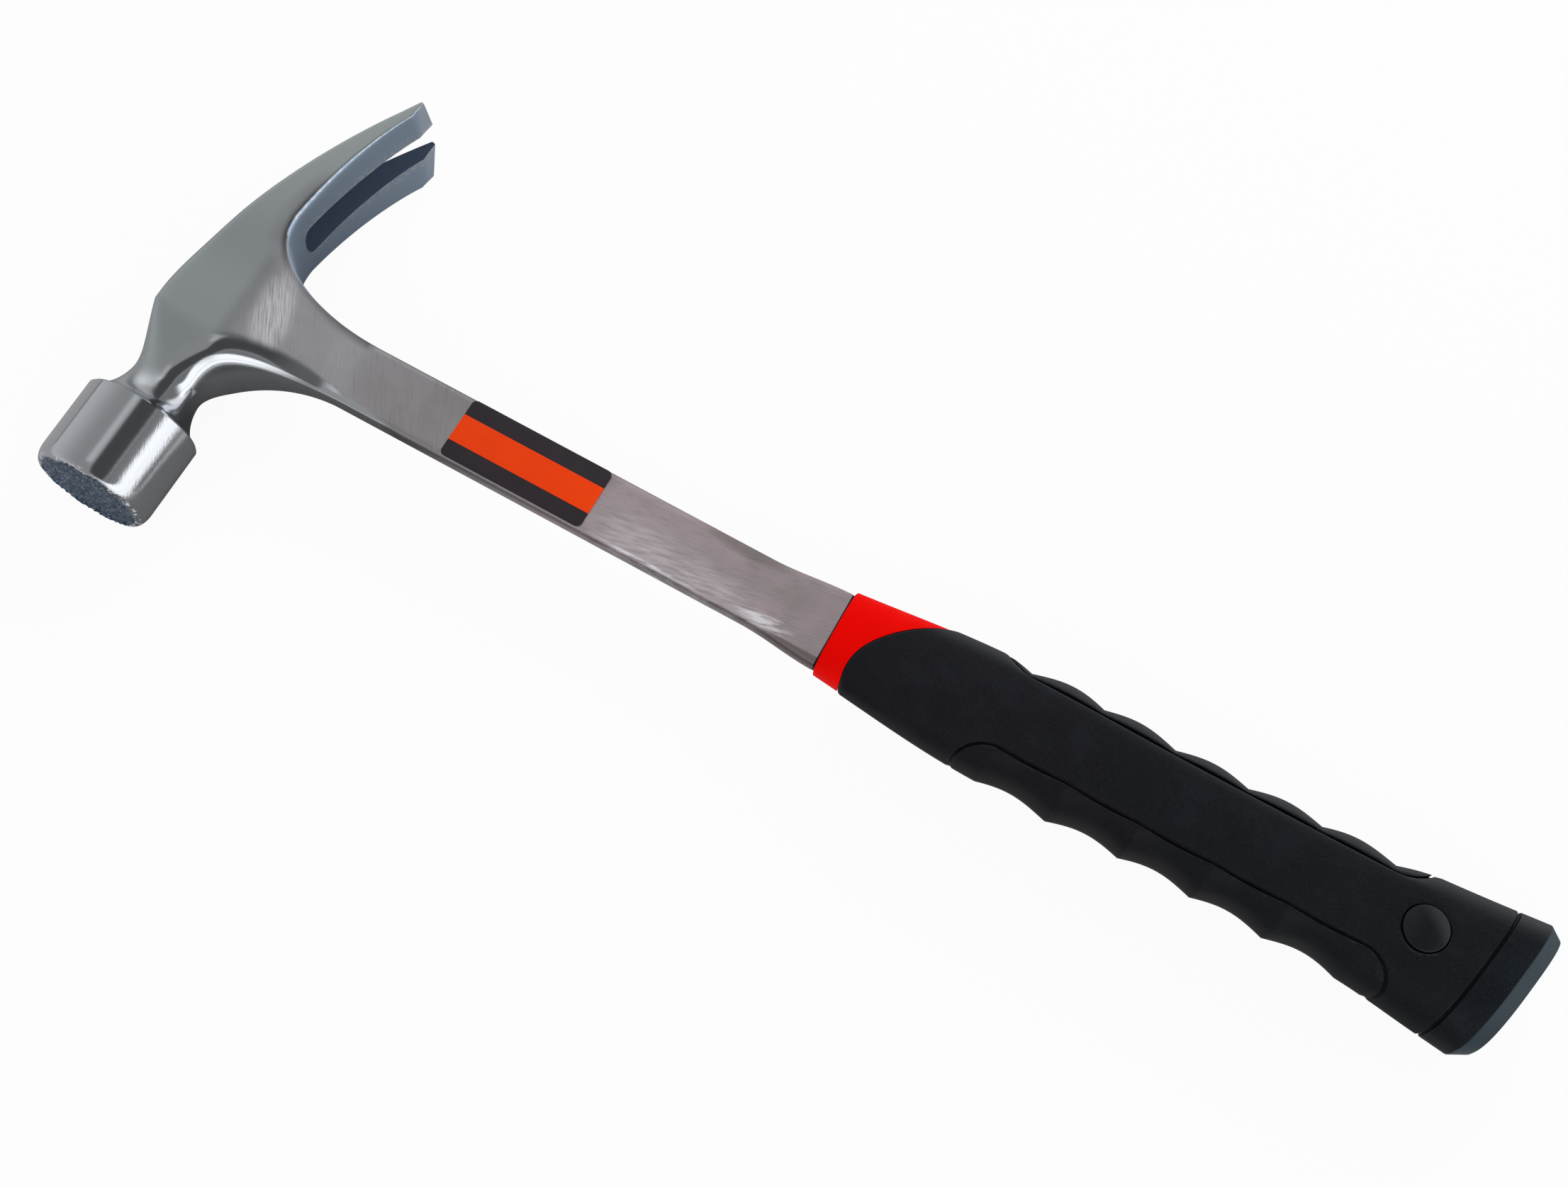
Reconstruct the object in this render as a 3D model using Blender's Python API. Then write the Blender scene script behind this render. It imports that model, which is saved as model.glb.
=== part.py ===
"""A one-piece forged rip-claw hammer with a moulded two-colour grip, lying on its side.

+X runs from the head to the butt, +Y from the striking face to the claw tip, and +Z up, square to
the cheeks. The datum is where the bell's axis crosses the handle's axis, half way through the
cheeks, and an empty moves it so that the origin is under the middle of the object. Sizes are in metres.
"""

import math

import bmesh
import bpy
import numpy as np

# Bell, neck and cheeks
BELL_RADIUS = 0.0167
BELL_LENGTH = 0.0258
FACE_ROUND = 0.0045
FACE_DROP = 0.0022
RIM_CHAMFER = 0.0006
NECK_RADIUS = 0.0100
NECK_RUN = 0.0109
NECK_CURVE = 1.75
NECK_TAPER = 0.0166
NECK_RISE = 1.6
CHEEK_FRONT = 0.0115
CHEEK_THICKNESS = 0.0270
HEAD_TOP = 0.0129
EDGE_SHARPNESS = 10.0

# Claw and its nail slot
CLAW_ROOT = 0.0276
CLAW_REACH = 0.0772
CLAW_DROP = 0.0185
CLAW_BEND_START = -0.0075
CLAW_BEND = 1.55
CLAW_WIDTH = 0.0383
CLAW_SPREAD_START = 0.0010
CLAW_SPREAD_LEAD = 0.4
CLAW_SPREAD_EASE = 0.3
CLAW_ROOT_THICKNESS = 0.0134
CLAW_TIP_THICKNESS = 0.0040
CLAW_EDGE_THICKNESS = 0.0010
CLAW_TIP_BEVEL = 0.0060
CLAW_TIP_SLANT = 0.0036
CLAW_TAPER = 1.18
SLOT_BITE = 0.0006
SLOT_ROOT_GAP = 0.0024
SLOT_TIP_GAP = 0.0092
SLOT_BEVEL = 0.36
SLOT_ROUND = 0.0030
SLOT_OVERCUT = 0.0020

# Shank and tang
SHANK_WIDTH = 0.0197
SHANK_THICKNESS = 0.0062
SHANK_EDGE = 0.0024
SHANK_SHARPNESS = 3.2
SLOPE_START = 0.0060
SLOPE_RUN = 0.0380
SLOPE_LEAN = 0.8
ARCH_RUN = 0.0335
ARCH_CURVE = 1.88
ROOT_CURVE = 2.7
COLLAR_FROM_BELL = 0.1908
SPREAD_STEP = 0.0018
SPREAD_RUN = 0.0235
TANG_WIDTH = 0.0180
TANG_TAPER = 0.0080
TANG_PAST_PIN = 0.0115

# Grip: places along it from the collar or from the butt, then widths and thicknesses
GRIP_LENGTH = 0.1976
SHOULDER_AT = 0.0384
WAIST_AT = 0.1034
FLARE_FROM_BUTT = 0.0420
COLLAR_LIP = 0.0013
SHOULDER_WIDTH = 0.0320
WAIST_WIDTH = 0.0308
FLARE_WIDTH = 0.0338
BUTT_WIDTH = 0.0424
COLLAR_THICKNESS = 0.0154
SHOULDER_THICKNESS = 0.0278
WAIST_THICKNESS = 0.0286
FLARE_THICKNESS = 0.0292
BUTT_THICKNESS = 0.0312
GRIP_ROUNDNESS = 2.7
JACKET_WALL = 0.0025
JACKET_EDGE_AT = 0.0072
JACKET_EDGE_SIDE = 0.0094
JACKET_EDGE_CURVE = 36.0
BUTT_CANT = 0.215
CAP_LENGTH = 0.0128
CAP_GROOVE = 0.0008
CAP_CHAMFER = 0.0029
CAP_CHAMFER_RUN = 0.0043
CAP_OVERLAP = 0.0060

# Finger pads
PAD_START = 0.0404
PAD_TO_GROOVE = 0.0173
PAD_SIDE = 0.0104
PAD_CORNER = 0.0120
PAD_GROOVE = 0.0007
SCALLOP_PITCH = 0.0210
SCALLOP_LEAD = 0.0105
SCALLOP_COUNT = 5
SCALLOP_DEPTH = 0.0020
PAD_CREST = 0.0009

# Pin, plugs and label
PIN_FROM_BUTT = 0.0300
PIN_RADIUS = 0.0030
PLUG_RADIUS = 0.0061
PLUG_RING = 0.0004
PLUG_DOME = 0.0010
LABEL_START = 0.0742
LABEL_LENGTH = 0.0435
LABEL_MARGIN = 0.0006
LABEL_CORNER = 0.0016
LABEL_THICKNESS = 0.0003

# Clearance between pieces that touch, and how far a cutter runs past what it cuts
SEAT_GAP = 0.0003
OVERCUT = 0.0060

# Mesh fineness
QUARTER_STEPS = 7
FAN_STEPS = 10
RING_STEPS = 24
TURN_STEPS = 40

# Places that follow from the sizes above
WAIST_Y = -CHEEK_FRONT - NECK_TAPER
RIM_Y = WAIST_Y - NECK_RUN
FACE_Y = RIM_Y - BELL_LENGTH
SLOT_ROOT = CLAW_ROOT - SLOT_BITE
CHEEK_HALF = CHEEK_THICKNESS / 2
SHANK_HALF = SHANK_THICKNESS / 2
ARCH_END = NECK_RADIUS + ARCH_RUN
SPREAD_WIDTH = SHANK_WIDTH + 2 * SPREAD_STEP
COLLAR_WIDTH = SPREAD_WIDTH + 2 * COLLAR_LIP
LABEL_WIDTH = SHANK_WIDTH - 2 * LABEL_MARGIN
COLLAR_X = COLLAR_FROM_BELL
BUTT_X = COLLAR_X + GRIP_LENGTH
GROOVE_X = BUTT_X - CAP_LENGTH
FLARE_X = BUTT_X - FLARE_FROM_BUTT
PIN_X = BUTT_X - PIN_FROM_BUTT
TANG_END = PIN_X + TANG_PAST_PIN
CORE_END = GROOVE_X + CAP_OVERLAP
PAD_X0 = COLLAR_X + PAD_START
PAD_X1 = GROOVE_X - PAD_TO_GROOVE
EDGE_X = COLLAR_X + JACKET_EDGE_AT


def smooth_step(share):
    """0 to 1 with level ends."""
    share = np.clip(share, 0.0, 1.0)
    return share * share * (3.0 - 2.0 * share)


def smooth_through(places, values, x):
    """A smooth curve through the values at the given places (a cubic Hermite spline)."""
    places = np.asarray(places)
    values = np.asarray(values)
    slopes = np.gradient(values, places)
    i = int(np.clip(np.searchsorted(places, x) - 1, 0, len(places) - 2))
    span = places[i + 1] - places[i]
    u = (x - places[i]) / span
    start = (1 + 2 * u) * (1 - u) ** 2 * values[i] + u * (1 - u) ** 2 * span * slopes[i]
    end = u * u * (3 - 2 * u) * values[i + 1] + u * u * (u - 1) * span * slopes[i + 1]
    return start + end


def power_quarter(steps, exponent):
    """Across and up factors along a quarter superellipse, from its edge (1, 0) to its crown (0, 1)."""
    turn = np.linspace(0.0, math.pi / 2, steps + 1)
    across = np.cos(turn) ** (2 / exponent)
    up = np.sin(turn) ** (2 / exponent)
    across[-1] = 0.0
    return across, up


# Head sections, as functions of the distance along the head
def round_radius(y):
    """Radius of the turned part of the head: bell, rim chamfer and the hollow of the neck."""
    if y < FACE_Y + FACE_ROUND:
        share = 1 - (y - FACE_Y) / FACE_ROUND
        return BELL_RADIUS - FACE_DROP * (1 - math.sqrt(max(0.0, 1 - share * share)))
    if y < RIM_Y - RIM_CHAMFER:
        return BELL_RADIUS
    if y < RIM_Y:
        return RIM_Y - y + BELL_RADIUS - RIM_CHAMFER
    share = min(1.0, (WAIST_Y - y) / NECK_RUN)
    rim = BELL_RADIUS - RIM_CHAMFER
    return rim - (rim - NECK_RADIUS) * (1 - share**NECK_CURVE) ** (1 / NECK_CURVE)


def claw_top(y):
    """The convex top line of cheek and claw, which bends down towards the handle."""
    share = max(0.0, (y - CLAW_BEND_START) / (CLAW_REACH - CLAW_BEND_START))
    return -HEAD_TOP + (HEAD_TOP + CLAW_DROP) * share**CLAW_BEND


def claw_thickness(y):
    """Thickness of the claw, with a bevel on the underside of the tips."""
    bevel_y = CLAW_REACH - CLAW_TIP_BEVEL
    share = np.clip((y - CLAW_ROOT) / (bevel_y - CLAW_ROOT), 0.0, 1.0)
    taper = (CLAW_ROOT_THICKNESS - CLAW_TIP_THICKNESS) * (1 - share) ** CLAW_TAPER
    bevel = np.clip((y - bevel_y) / CLAW_TIP_BEVEL, 0.0, 1.0)
    return CLAW_TIP_THICKNESS + taper + (CLAW_EDGE_THICKNESS - CLAW_TIP_THICKNESS) * bevel


def head_half(y):
    """Half thickness of the head, square to the cheeks."""
    if y <= WAIST_Y:
        return round_radius(y)
    share = (y - WAIST_Y) / NECK_TAPER
    neck = NECK_RADIUS + (CHEEK_HALF - NECK_RADIUS) * smooth_step(share)
    spread = max(0.0, (y - CLAW_SPREAD_START) / (CLAW_REACH - CLAW_SPREAD_START))
    spread *= (1 + CLAW_SPREAD_LEAD * (1 - spread)) * smooth_step(spread / CLAW_SPREAD_EASE)
    return neck + (CLAW_WIDTH / 2 - CHEEK_HALF) * spread


def head_section(y):
    """Top, bottom, half thickness and corner sharpness of the head's section at y."""
    if y <= WAIST_Y:
        radius = round_radius(y)
        return -radius, radius, radius, 2.0
    share = min(1.0, (y - WAIST_Y) / NECK_TAPER)
    top = claw_top(y) + (HEAD_TOP - NECK_RADIUS) * (1 - share**NECK_RISE)
    sharpness = 2.0 + (EDGE_SHARPNESS - 2.0) * share**2
    return top, claw_top(y) + claw_thickness(y), head_half(y), sharpness


def head_levels():
    """Stations along the head, and the places of the narrowest neck and the claw root among them."""
    turn = np.linspace(0.0, math.pi / 2, 5)
    levels = list(FACE_Y + FACE_ROUND * (1 - np.cos(turn)))
    levels += [RIM_Y - RIM_CHAMFER]
    levels += list(WAIST_Y - NECK_RUN * np.cos(np.linspace(0.0, math.pi / 2, 8)) ** (2 / NECK_CURVE))
    waist = len(levels) - 1
    levels[waist] = WAIST_Y
    levels += list(np.linspace(WAIST_Y, -CHEEK_FRONT, 7)[1:])
    levels += list(np.linspace(-CHEEK_FRONT, CLAW_ROOT, 7)[1:])
    root = len(levels) - 1
    levels += list(np.linspace(CLAW_ROOT, CLAW_REACH - CLAW_TIP_BEVEL, 9)[1:])
    levels += [CLAW_REACH]
    return levels, waist, root


def slope_height(x, y):
    """Half thickness at a point of the cheek or of the slope that falls from it to the shank."""
    share = np.clip((x - SLOPE_START) / SLOPE_RUN, 0.0, 1.0)
    fall = 1 - smooth_step(share**SLOPE_LEAN)
    return SHANK_HALF + (head_half(y) - SHANK_HALF) * fall


def hollow_curve(turn, start, end, curve):
    """A point on a rounded inside corner from start to end, and the direction into the steel."""
    across = max(0.0, math.cos(turn)) ** (2 / curve)
    up = math.sin(turn) ** (2 / curve)
    run = np.array([end[0] - start[0], end[1] - start[1]])
    point = np.array([end[0] - run[0] * across, start[1] + run[1] * up])
    inward = np.array([-(across ** (curve - 1)) / abs(run[0]), up ** (curve - 1) / run[1]])
    return point, inward / np.linalg.norm(inward)


def shank_half_width(x):
    """Half width of the shank, which spreads at the collar and narrows again inside the grip."""
    spread = smooth_step((x - COLLAR_X + SPREAD_RUN) / SPREAD_RUN)
    taper = smooth_step((x - COLLAR_X) / TANG_TAPER)
    return (SHANK_WIDTH + (SPREAD_WIDTH - SHANK_WIDTH) * spread + (TANG_WIDTH - SPREAD_WIDTH) * taper) / 2


def shank_levels():
    """Stations along the straight shank and the tang."""
    levels = list(np.linspace(ARCH_END, COLLAR_X - SPREAD_RUN, 5)[1:])
    levels += list(np.linspace(COLLAR_X - SPREAD_RUN, COLLAR_X, 6)[1:])
    levels += list(np.linspace(COLLAR_X, COLLAR_X + TANG_TAPER, 5)[1:])
    return levels + [TANG_END]


# Scene helpers
def material(name, colour, roughness, metallic):
    made = bpy.data.materials.new(name)
    made.use_nodes = True
    shader = made.node_tree.nodes["Principled BSDF"]
    shader.inputs["Base Color"].default_value = (*colour, 1.0)
    shader.inputs["Roughness"].default_value = roughness
    shader.inputs["Metallic"].default_value = metallic
    made.diffuse_color = (*colour, 1.0)
    return made


def place(name, points, faces, datum, finish=None):
    """A mesh object made from points and faces, with its faces turned outwards."""
    mesh = bpy.data.meshes.new(name)
    work = bmesh.new()
    corners = [work.verts.new(point) for point in points]
    for face in faces:
        work.faces.new([corners[i] for i in face])
    bmesh.ops.recalc_face_normals(work, faces=work.faces)
    if work.calc_volume(signed=True) < 0:
        bmesh.ops.reverse_faces(work, faces=work.faces)
    work.to_mesh(mesh)
    work.free()
    mesh.shade_smooth()
    mesh.set_sharp_from_angle(angle=math.radians(35))
    made = bpy.data.objects.new(name, mesh)
    bpy.context.scene.collection.objects.link(made)
    made.parent = datum
    if finish:
        mesh.materials.append(finish)
    else:
        made.hide_render = True
        made.display_type = "WIRE"
    return made


def boolean(target, tool, operation):
    step = target.modifiers.new(f"{operation.lower()}_{tool.name}", "BOOLEAN")
    step.operation = operation
    step.solver = "EXACT"
    step.object = tool


def loft(rings):
    """Points and faces of a closed solid through rings of equal length, with flat ends."""
    count = len(rings[0])
    faces = [list(range(count)), [len(rings) * count - 1 - i for i in range(count)]]
    for row in range(len(rings) - 1):
        for i in range(count):
            j = (i + 1) % count
            faces.append([row * count + i, row * count + j, (row + 1) * count + j, (row + 1) * count + i])
    return np.concatenate(rings), faces


def prism(outline, low, high):
    """A flat outline in plan, pushed up from low to high."""
    outline = np.asarray(outline)
    rings = [np.column_stack([outline, np.full(len(outline), z)]) for z in (low, high)]
    return loft(rings)


def corner_arc(centre, radius, first, last, steps):
    """Points on an arc in plan, between two angles in degrees."""
    turn = np.radians(np.linspace(first, last, steps + 1))
    return np.column_stack([centre[0] + radius * np.cos(turn), centre[1] + radius * np.sin(turn)])


def turned(name, profile, x, y, datum, finish=None):
    """A turned solid on an upright axis, from a profile of (radius, height) pairs."""
    turn = np.linspace(0.0, 2 * math.pi, TURN_STEPS, endpoint=False)
    rings = []
    for radius, height in profile:
        ring = [radius * np.cos(turn), radius * np.sin(turn), np.full(TURN_STEPS, height)]
        rings.append(np.column_stack(ring))
    made = place(name, *loft(rings), datum, finish)
    made.location = (x, y, 0.0)
    return made


# The forging
def forged_half():
    """Points and faces of the upper half of the forging, open along the middle plane."""
    steps = QUARTER_STEPS
    levels, waist, root = head_levels()
    points = []
    index = []
    for i, y in enumerate(levels):
        top, bottom, half, sharpness = head_section(y)
        across, up = power_quarter(steps, sharpness)
        middle = (top + bottom) / 2
        open_side = waist < i < root
        if open_side:
            root_middle = claw_top(CLAW_ROOT) + CLAW_ROOT_THICKNESS / 2
            middle = np.interp(y, [WAIST_Y, CLAW_ROOT], [0.0, root_middle])
        claw_share = max(0.0, (y - CLAW_ROOT) / (CLAW_REACH - CLAW_ROOT))
        slant = CLAW_TIP_SLANT * claw_share**2
        row = [None] * (2 * steps + 1)
        for m in range(steps if open_side else 0, 2 * steps + 1):
            q = m if m <= steps else 2 * steps - m
            reach = (bottom - middle) if m <= steps else (top - middle)
            row[m] = len(points)
            points.append((middle + reach * across[q], y - slant * up[q], half * up[q]))
        index.append(row)
    faces = [index[0], index[-1]]
    for i in range(len(levels) - 1):
        first = steps if waist <= i < root else 0
        for m in range(first, 2 * steps):
            faces.append([index[i][m], index[i][m + 1], index[i + 1][m + 1], index[i + 1][m]])
    add_shank(points, faces, index, waist, root, levels)
    return points, faces


def add_shank(points, faces, index, waist, root, levels):
    """Fans the open side of the head out into the shank and runs it on to the end of the tang."""
    steps = QUARTER_STEPS
    shares = [(y - WAIST_Y) / (CLAW_ROOT - WAIST_Y) for y in levels[waist + 1 : root]]
    rows = [index[waist][: steps + 1] + [index[i][steps] for i in range(waist + 1, root)]]
    rows[0] += index[root][steps::-1]
    half_width = SHANK_WIDTH / 2
    root_bottom = claw_top(CLAW_ROOT) + CLAW_ROOT_THICKNESS
    stations = []
    for turn in np.linspace(0.0, math.pi / 2, FAN_STEPS + 1)[1:]:
        share = 1 - math.cos(turn)
        front, front_in = hollow_curve(turn, (NECK_RADIUS, WAIST_Y), (ARCH_END, -half_width), ARCH_CURVE)
        rear, rear_in = hollow_curve(turn, (root_bottom, CLAW_ROOT), (ARCH_END, half_width), ROOT_CURVE)
        front_depth = NECK_RADIUS + (SHANK_EDGE - NECK_RADIUS) * share
        rear_depth = CLAW_ROOT_THICKNESS / 2 + (SHANK_EDGE - CLAW_ROOT_THICKNESS / 2) * share
        front_sharp = 2.0 + (SHANK_SHARPNESS - 2.0) * share
        rear_sharp = EDGE_SHARPNESS + (SHANK_SHARPNESS - EDGE_SHARPNESS) * share
        stations.append((front, front_in * front_depth, front_sharp, rear, rear_in * rear_depth, rear_sharp))
    for x in shank_levels():
        edge = np.array([0.0, SHANK_EDGE])
        side = np.array([x, shank_half_width(x)])
        stations.append((side * (1, -1), edge, SHANK_SHARPNESS, side, -edge, SHANK_SHARPNESS))
    for front, front_edge, front_sharp, rear, rear_edge, rear_sharp in stations:
        row = []
        front_end = front + front_edge
        rear_end = rear + rear_edge
        plan = [front_end + (rear_end - front_end) * share for share in shares]
        line = column(front, front_edge, front_sharp)
        line += [(x, y, slope_height(x, y)) for x, y in plan]
        line += column(rear, rear_edge, rear_sharp)[::-1]
        for point in line:
            row.append(len(points))
            points.append(point)
        rows.append(row)
    for lower, upper in zip(rows, rows[1:]):
        for i in range(len(lower) - 1):
            faces.append([lower[i], lower[i + 1], upper[i + 1], upper[i]])
    faces.append(rows[-1])


def column(outline, edge, sharpness):
    """Points up a rounded edge, from the outline at the middle plane to the crown of the edge."""
    across, up = power_quarter(QUARTER_STEPS, sharpness)
    crown = outline + edge
    height = slope_height(crown[0], crown[1])
    return [(*(outline + edge * (1 - a)), height * u) for a, u in zip(across, up)]


def slot_cutter(datum):
    """The bevelled nail slot: narrow at the top of the claw, wide underneath, round at its root."""
    rings = []
    ease = SLOT_ROUND * (1 - np.cos(np.linspace(0.15, math.pi / 2, 6)))
    levels = list(SLOT_ROOT + ease) + list(np.linspace(CLAW_ROOT + SLOT_ROUND, CLAW_REACH + OVERCUT, 8))
    for y in levels:
        run = np.clip((y - SLOT_ROOT) / (CLAW_REACH - SLOT_ROOT), 0.0, 1.2)
        half = (SLOT_ROOT_GAP + (SLOT_TIP_GAP - SLOT_ROOT_GAP) * run) / 2
        end = max(0.0, 1 - (y - SLOT_ROOT) / SLOT_ROUND)
        round_off = math.sqrt(max(0.0, 1 - end * end))
        thickness = claw_thickness(min(y, CLAW_REACH - CLAW_TIP_BEVEL))
        top = claw_top(y) - SLOT_OVERCUT
        bottom = claw_top(y) + thickness + OVERCUT
        low = (half - SLOT_BEVEL * SLOT_OVERCUT) * round_off
        high = (half + SLOT_BEVEL * (thickness + OVERCUT)) * round_off
        rings.append(np.array([(top, y, -low), (top, y, low), (bottom, y, high), (bottom, y, -high)]))
    return place("slot_cutter", *loft(rings), datum)


def forged_hammer(datum, finish):
    made = place("forged_hammer", *forged_half(), datum, finish)
    mirror = made.modifiers.new("other_half", "MIRROR")
    mirror.use_axis = (False, False, True)
    mirror.merge_threshold = 0.00001
    boolean(made, slot_cutter(datum), "DIFFERENCE")
    hole = [(PIN_RADIUS + SEAT_GAP, -CHEEK_THICKNESS), (PIN_RADIUS + SEAT_GAP, CHEEK_THICKNESS)]
    boolean(made, turned("tang_hole_cutter", hole, PIN_X, 0.0, datum), "DIFFERENCE")
    return made


# The grip
GRIP_PLACES = [COLLAR_X, COLLAR_X + SHOULDER_AT, COLLAR_X + WAIST_AT, FLARE_X, BUTT_X]
GRIP_WIDTHS = [COLLAR_WIDTH, SHOULDER_WIDTH, WAIST_WIDTH, FLARE_WIDTH, BUTT_WIDTH]
GRIP_THICKNESSES = [COLLAR_THICKNESS, SHOULDER_THICKNESS, WAIST_THICKNESS, FLARE_THICKNESS, BUTT_THICKNESS]


def grip_half(x):
    """Half width and half thickness of the grip at a place along the handle."""
    width = smooth_through(GRIP_PLACES, GRIP_WIDTHS, x)
    thickness = smooth_through(GRIP_PLACES, GRIP_THICKNESSES, x)
    return width / 2, thickness / 2


def pad_half_widths(x):
    """Half widths of the two pads: finger hollows in front and lobes behind, both flush at their ends."""
    first = PAD_X0 + SCALLOP_LEAD
    last = first + SCALLOP_COUNT * SCALLOP_PITCH
    flush = grip_half(x)[0]
    crest = flush + PAD_CREST * smooth_step(min(x - first, last - x) / SCALLOP_PITCH)
    if first <= x <= last:
        wave = abs(math.sin(math.pi * (x - first) / SCALLOP_PITCH))
        return crest - SCALLOP_DEPTH * wave, crest - SCALLOP_DEPTH * (1 - wave)
    past = (first - x) / SCALLOP_LEAD if x < first else (x - last) / (PAD_X1 - last)
    return flush, flush - SCALLOP_DEPTH * (1 - math.sin(min(1.0, past) * math.pi / 2))


def grip_ring(x, front, rear, thickness):
    """A section of the grip, leaning with the canted butt."""
    turn = np.linspace(0.0, 2 * math.pi, RING_STEPS, endpoint=False)
    across = np.sign(np.cos(turn)) * np.abs(np.cos(turn)) ** (2 / GRIP_ROUNDNESS)
    up = np.sign(np.sin(turn)) * np.abs(np.sin(turn)) ** (2 / GRIP_ROUNDNESS)
    y = np.where(across < 0, across * front, across * rear)
    lean = BUTT_CANT * smooth_step((x - FLARE_X) / (GROOVE_X - FLARE_X))
    return np.column_stack([x + lean * y, y, up * thickness])


def grip_form(first, last, inset, steps):
    """A solid of the grip's outer form between two places, drawn in by inset."""
    rings = []
    for x in np.linspace(first, last, steps + 1):
        width, thickness = grip_half(x)
        rings.append(grip_ring(x, width - inset, width - inset, thickness - inset))
    return loft(rings)


def pad_form():
    """A solid of the grip with its finger pattern, the outside of both pads."""
    rings = []
    first = PAD_X0 - OVERCUT
    last = PAD_X1 + OVERCUT
    for x in np.arange(first, last, SCALLOP_PITCH / 6):
        rings.append(grip_ring(x, *pad_half_widths(x), grip_half(x)[1]))
    return loft(rings)


def pad_outline(side, shrink):
    """Plan of a finger pad: a strip along the edge of the grip with two rounded inner corners."""
    low = PAD_SIDE + shrink
    x0 = PAD_X0 + shrink
    x1 = PAD_X1 - shrink
    corner = PAD_CORNER - shrink
    far = BUTT_WIDTH
    outline = [corner_arc((x0 + corner, low + corner), corner, 180, 270, 6)]
    outline.append(corner_arc((x1 - corner, low + corner), corner, 270, 360, 6))
    outline.append(np.array([(x1, far), (x0, far)]))
    return np.concatenate(outline) * (1, side)


def edge_prism(shift, behind):
    """The space on one side of the jacket's curved front edge, as seen in plan."""
    y = np.linspace(-BUTT_WIDTH, BUTT_WIDTH, 41)
    x = EDGE_X + shift + JACKET_EDGE_CURVE * (y + JACKET_EDGE_SIDE) ** 2
    far = BUTT_X + BUTT_WIDTH if behind else COLLAR_X - BUTT_WIDTH
    outline = list(zip(x, y)) + [(far, BUTT_WIDTH), (far, -BUTT_WIDTH)]
    return prism(outline, -BUTT_THICKNESS, BUTT_THICKNESS)


def tang_cutter(datum):
    """The hollow that the tang fills in the grip core."""
    rings = []
    across, up = power_quarter(QUARTER_STEPS, SHANK_SHARPNESS)
    levels = [COLLAR_X - OVERCUT] + [x for x in shank_levels() if x > COLLAR_X - SEAT_GAP]
    levels[-1] += SEAT_GAP
    for x in levels:
        width = shank_half_width(x) + SEAT_GAP
        flat = width - SHANK_EDGE
        height = SHANK_HALF + SEAT_GAP
        quarter = np.column_stack([flat + SHANK_EDGE * across, height * up])
        half = np.concatenate([quarter, quarter[::-1] * (-1, 1)])
        ring = np.concatenate([half, half[-2:0:-1] * (1, -1)])
        rings.append(np.column_stack([np.full(len(ring), x), ring]))
    return place("tang_cutter", *loft(rings), datum)


def core_space(datum):
    """The space inside jacket, pads and cap that the core fills, with its clearance."""
    form = grip_form(COLLAR_X - OVERCUT / 6, CORE_END + SEAT_GAP, JACKET_WALL, 24)
    return place("core_space", *form, datum)


def pin_seat():
    """Height of the core's crown at the pin, where the plugs sit."""
    return grip_half(PIN_X)[1] - JACKET_WALL - SEAT_GAP


def grip_core(datum, finish):
    inner = grip_form(COLLAR_X + JACKET_WALL, CORE_END, JACKET_WALL + SEAT_GAP, 24)
    made = place("grip_core", *inner, datum, finish)
    last = EDGE_X + JACKET_EDGE_CURVE * (SHOULDER_WIDTH / 2 + JACKET_EDGE_SIDE) ** 2
    collar = place("collar_form", *grip_form(COLLAR_X, last, 0.0, 12), datum)
    boolean(collar, place("collar_limit", *edge_prism(-SEAT_GAP, False), datum), "INTERSECT")
    boolean(made, collar, "UNION")
    boolean(made, tang_cutter(datum), "DIFFERENCE")
    bore = [(PIN_RADIUS + SEAT_GAP, -BUTT_THICKNESS), (PIN_RADIUS + SEAT_GAP, BUTT_THICKNESS)]
    boolean(made, turned("pin_bore_cutter", bore, PIN_X, 0.0, datum), "DIFFERENCE")
    return made


def grip_jacket(datum, finish, space):
    outer = grip_form(COLLAR_X, GROOVE_X - CAP_GROOVE / 2, 0.0, 26)
    made = place("grip_jacket", *outer, datum, finish)
    boolean(made, place("jacket_limit", *edge_prism(0.0, True), datum), "INTERSECT")
    boolean(made, space, "DIFFERENCE")
    for side, name in ((-1, "front"), (1, "rear")):
        recess = prism(pad_outline(side, 0.0), -BUTT_THICKNESS, BUTT_THICKNESS)
        boolean(made, place(f"{name}_recess", *recess, datum), "DIFFERENCE")
    ring = PLUG_RADIUS + PLUG_RING
    bore = [(ring, -BUTT_THICKNESS), (ring, BUTT_THICKNESS)]
    boolean(made, turned("plug_bore_cutter", bore, PIN_X, 0.0, datum), "DIFFERENCE")
    return made


def finger_pad(name, side, datum, finish, space):
    outline = pad_outline(side, PAD_GROOVE)
    made = place(name, *prism(outline, -BUTT_THICKNESS, BUTT_THICKNESS), datum, finish)
    boolean(made, place(f"{name}_form", *pad_form(), datum), "INTERSECT")
    boolean(made, space, "DIFFERENCE")
    return made


def butt_cap(datum, finish, space):
    rings = []
    start = GROOVE_X + CAP_GROOVE / 2
    shoulder = BUTT_X - CAP_CHAMFER_RUN
    for x, inset in ((start, 0.0), ((start + shoulder) / 2, 0.0), (shoulder, 0.0), (BUTT_X, CAP_CHAMFER)):
        width, thickness = grip_half(x)
        rings.append(grip_ring(x, width - inset, width - inset, thickness - inset))
    made = place("butt_cap", *loft(rings), datum, finish)
    boolean(made, space, "DIFFERENCE")
    return made


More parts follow.
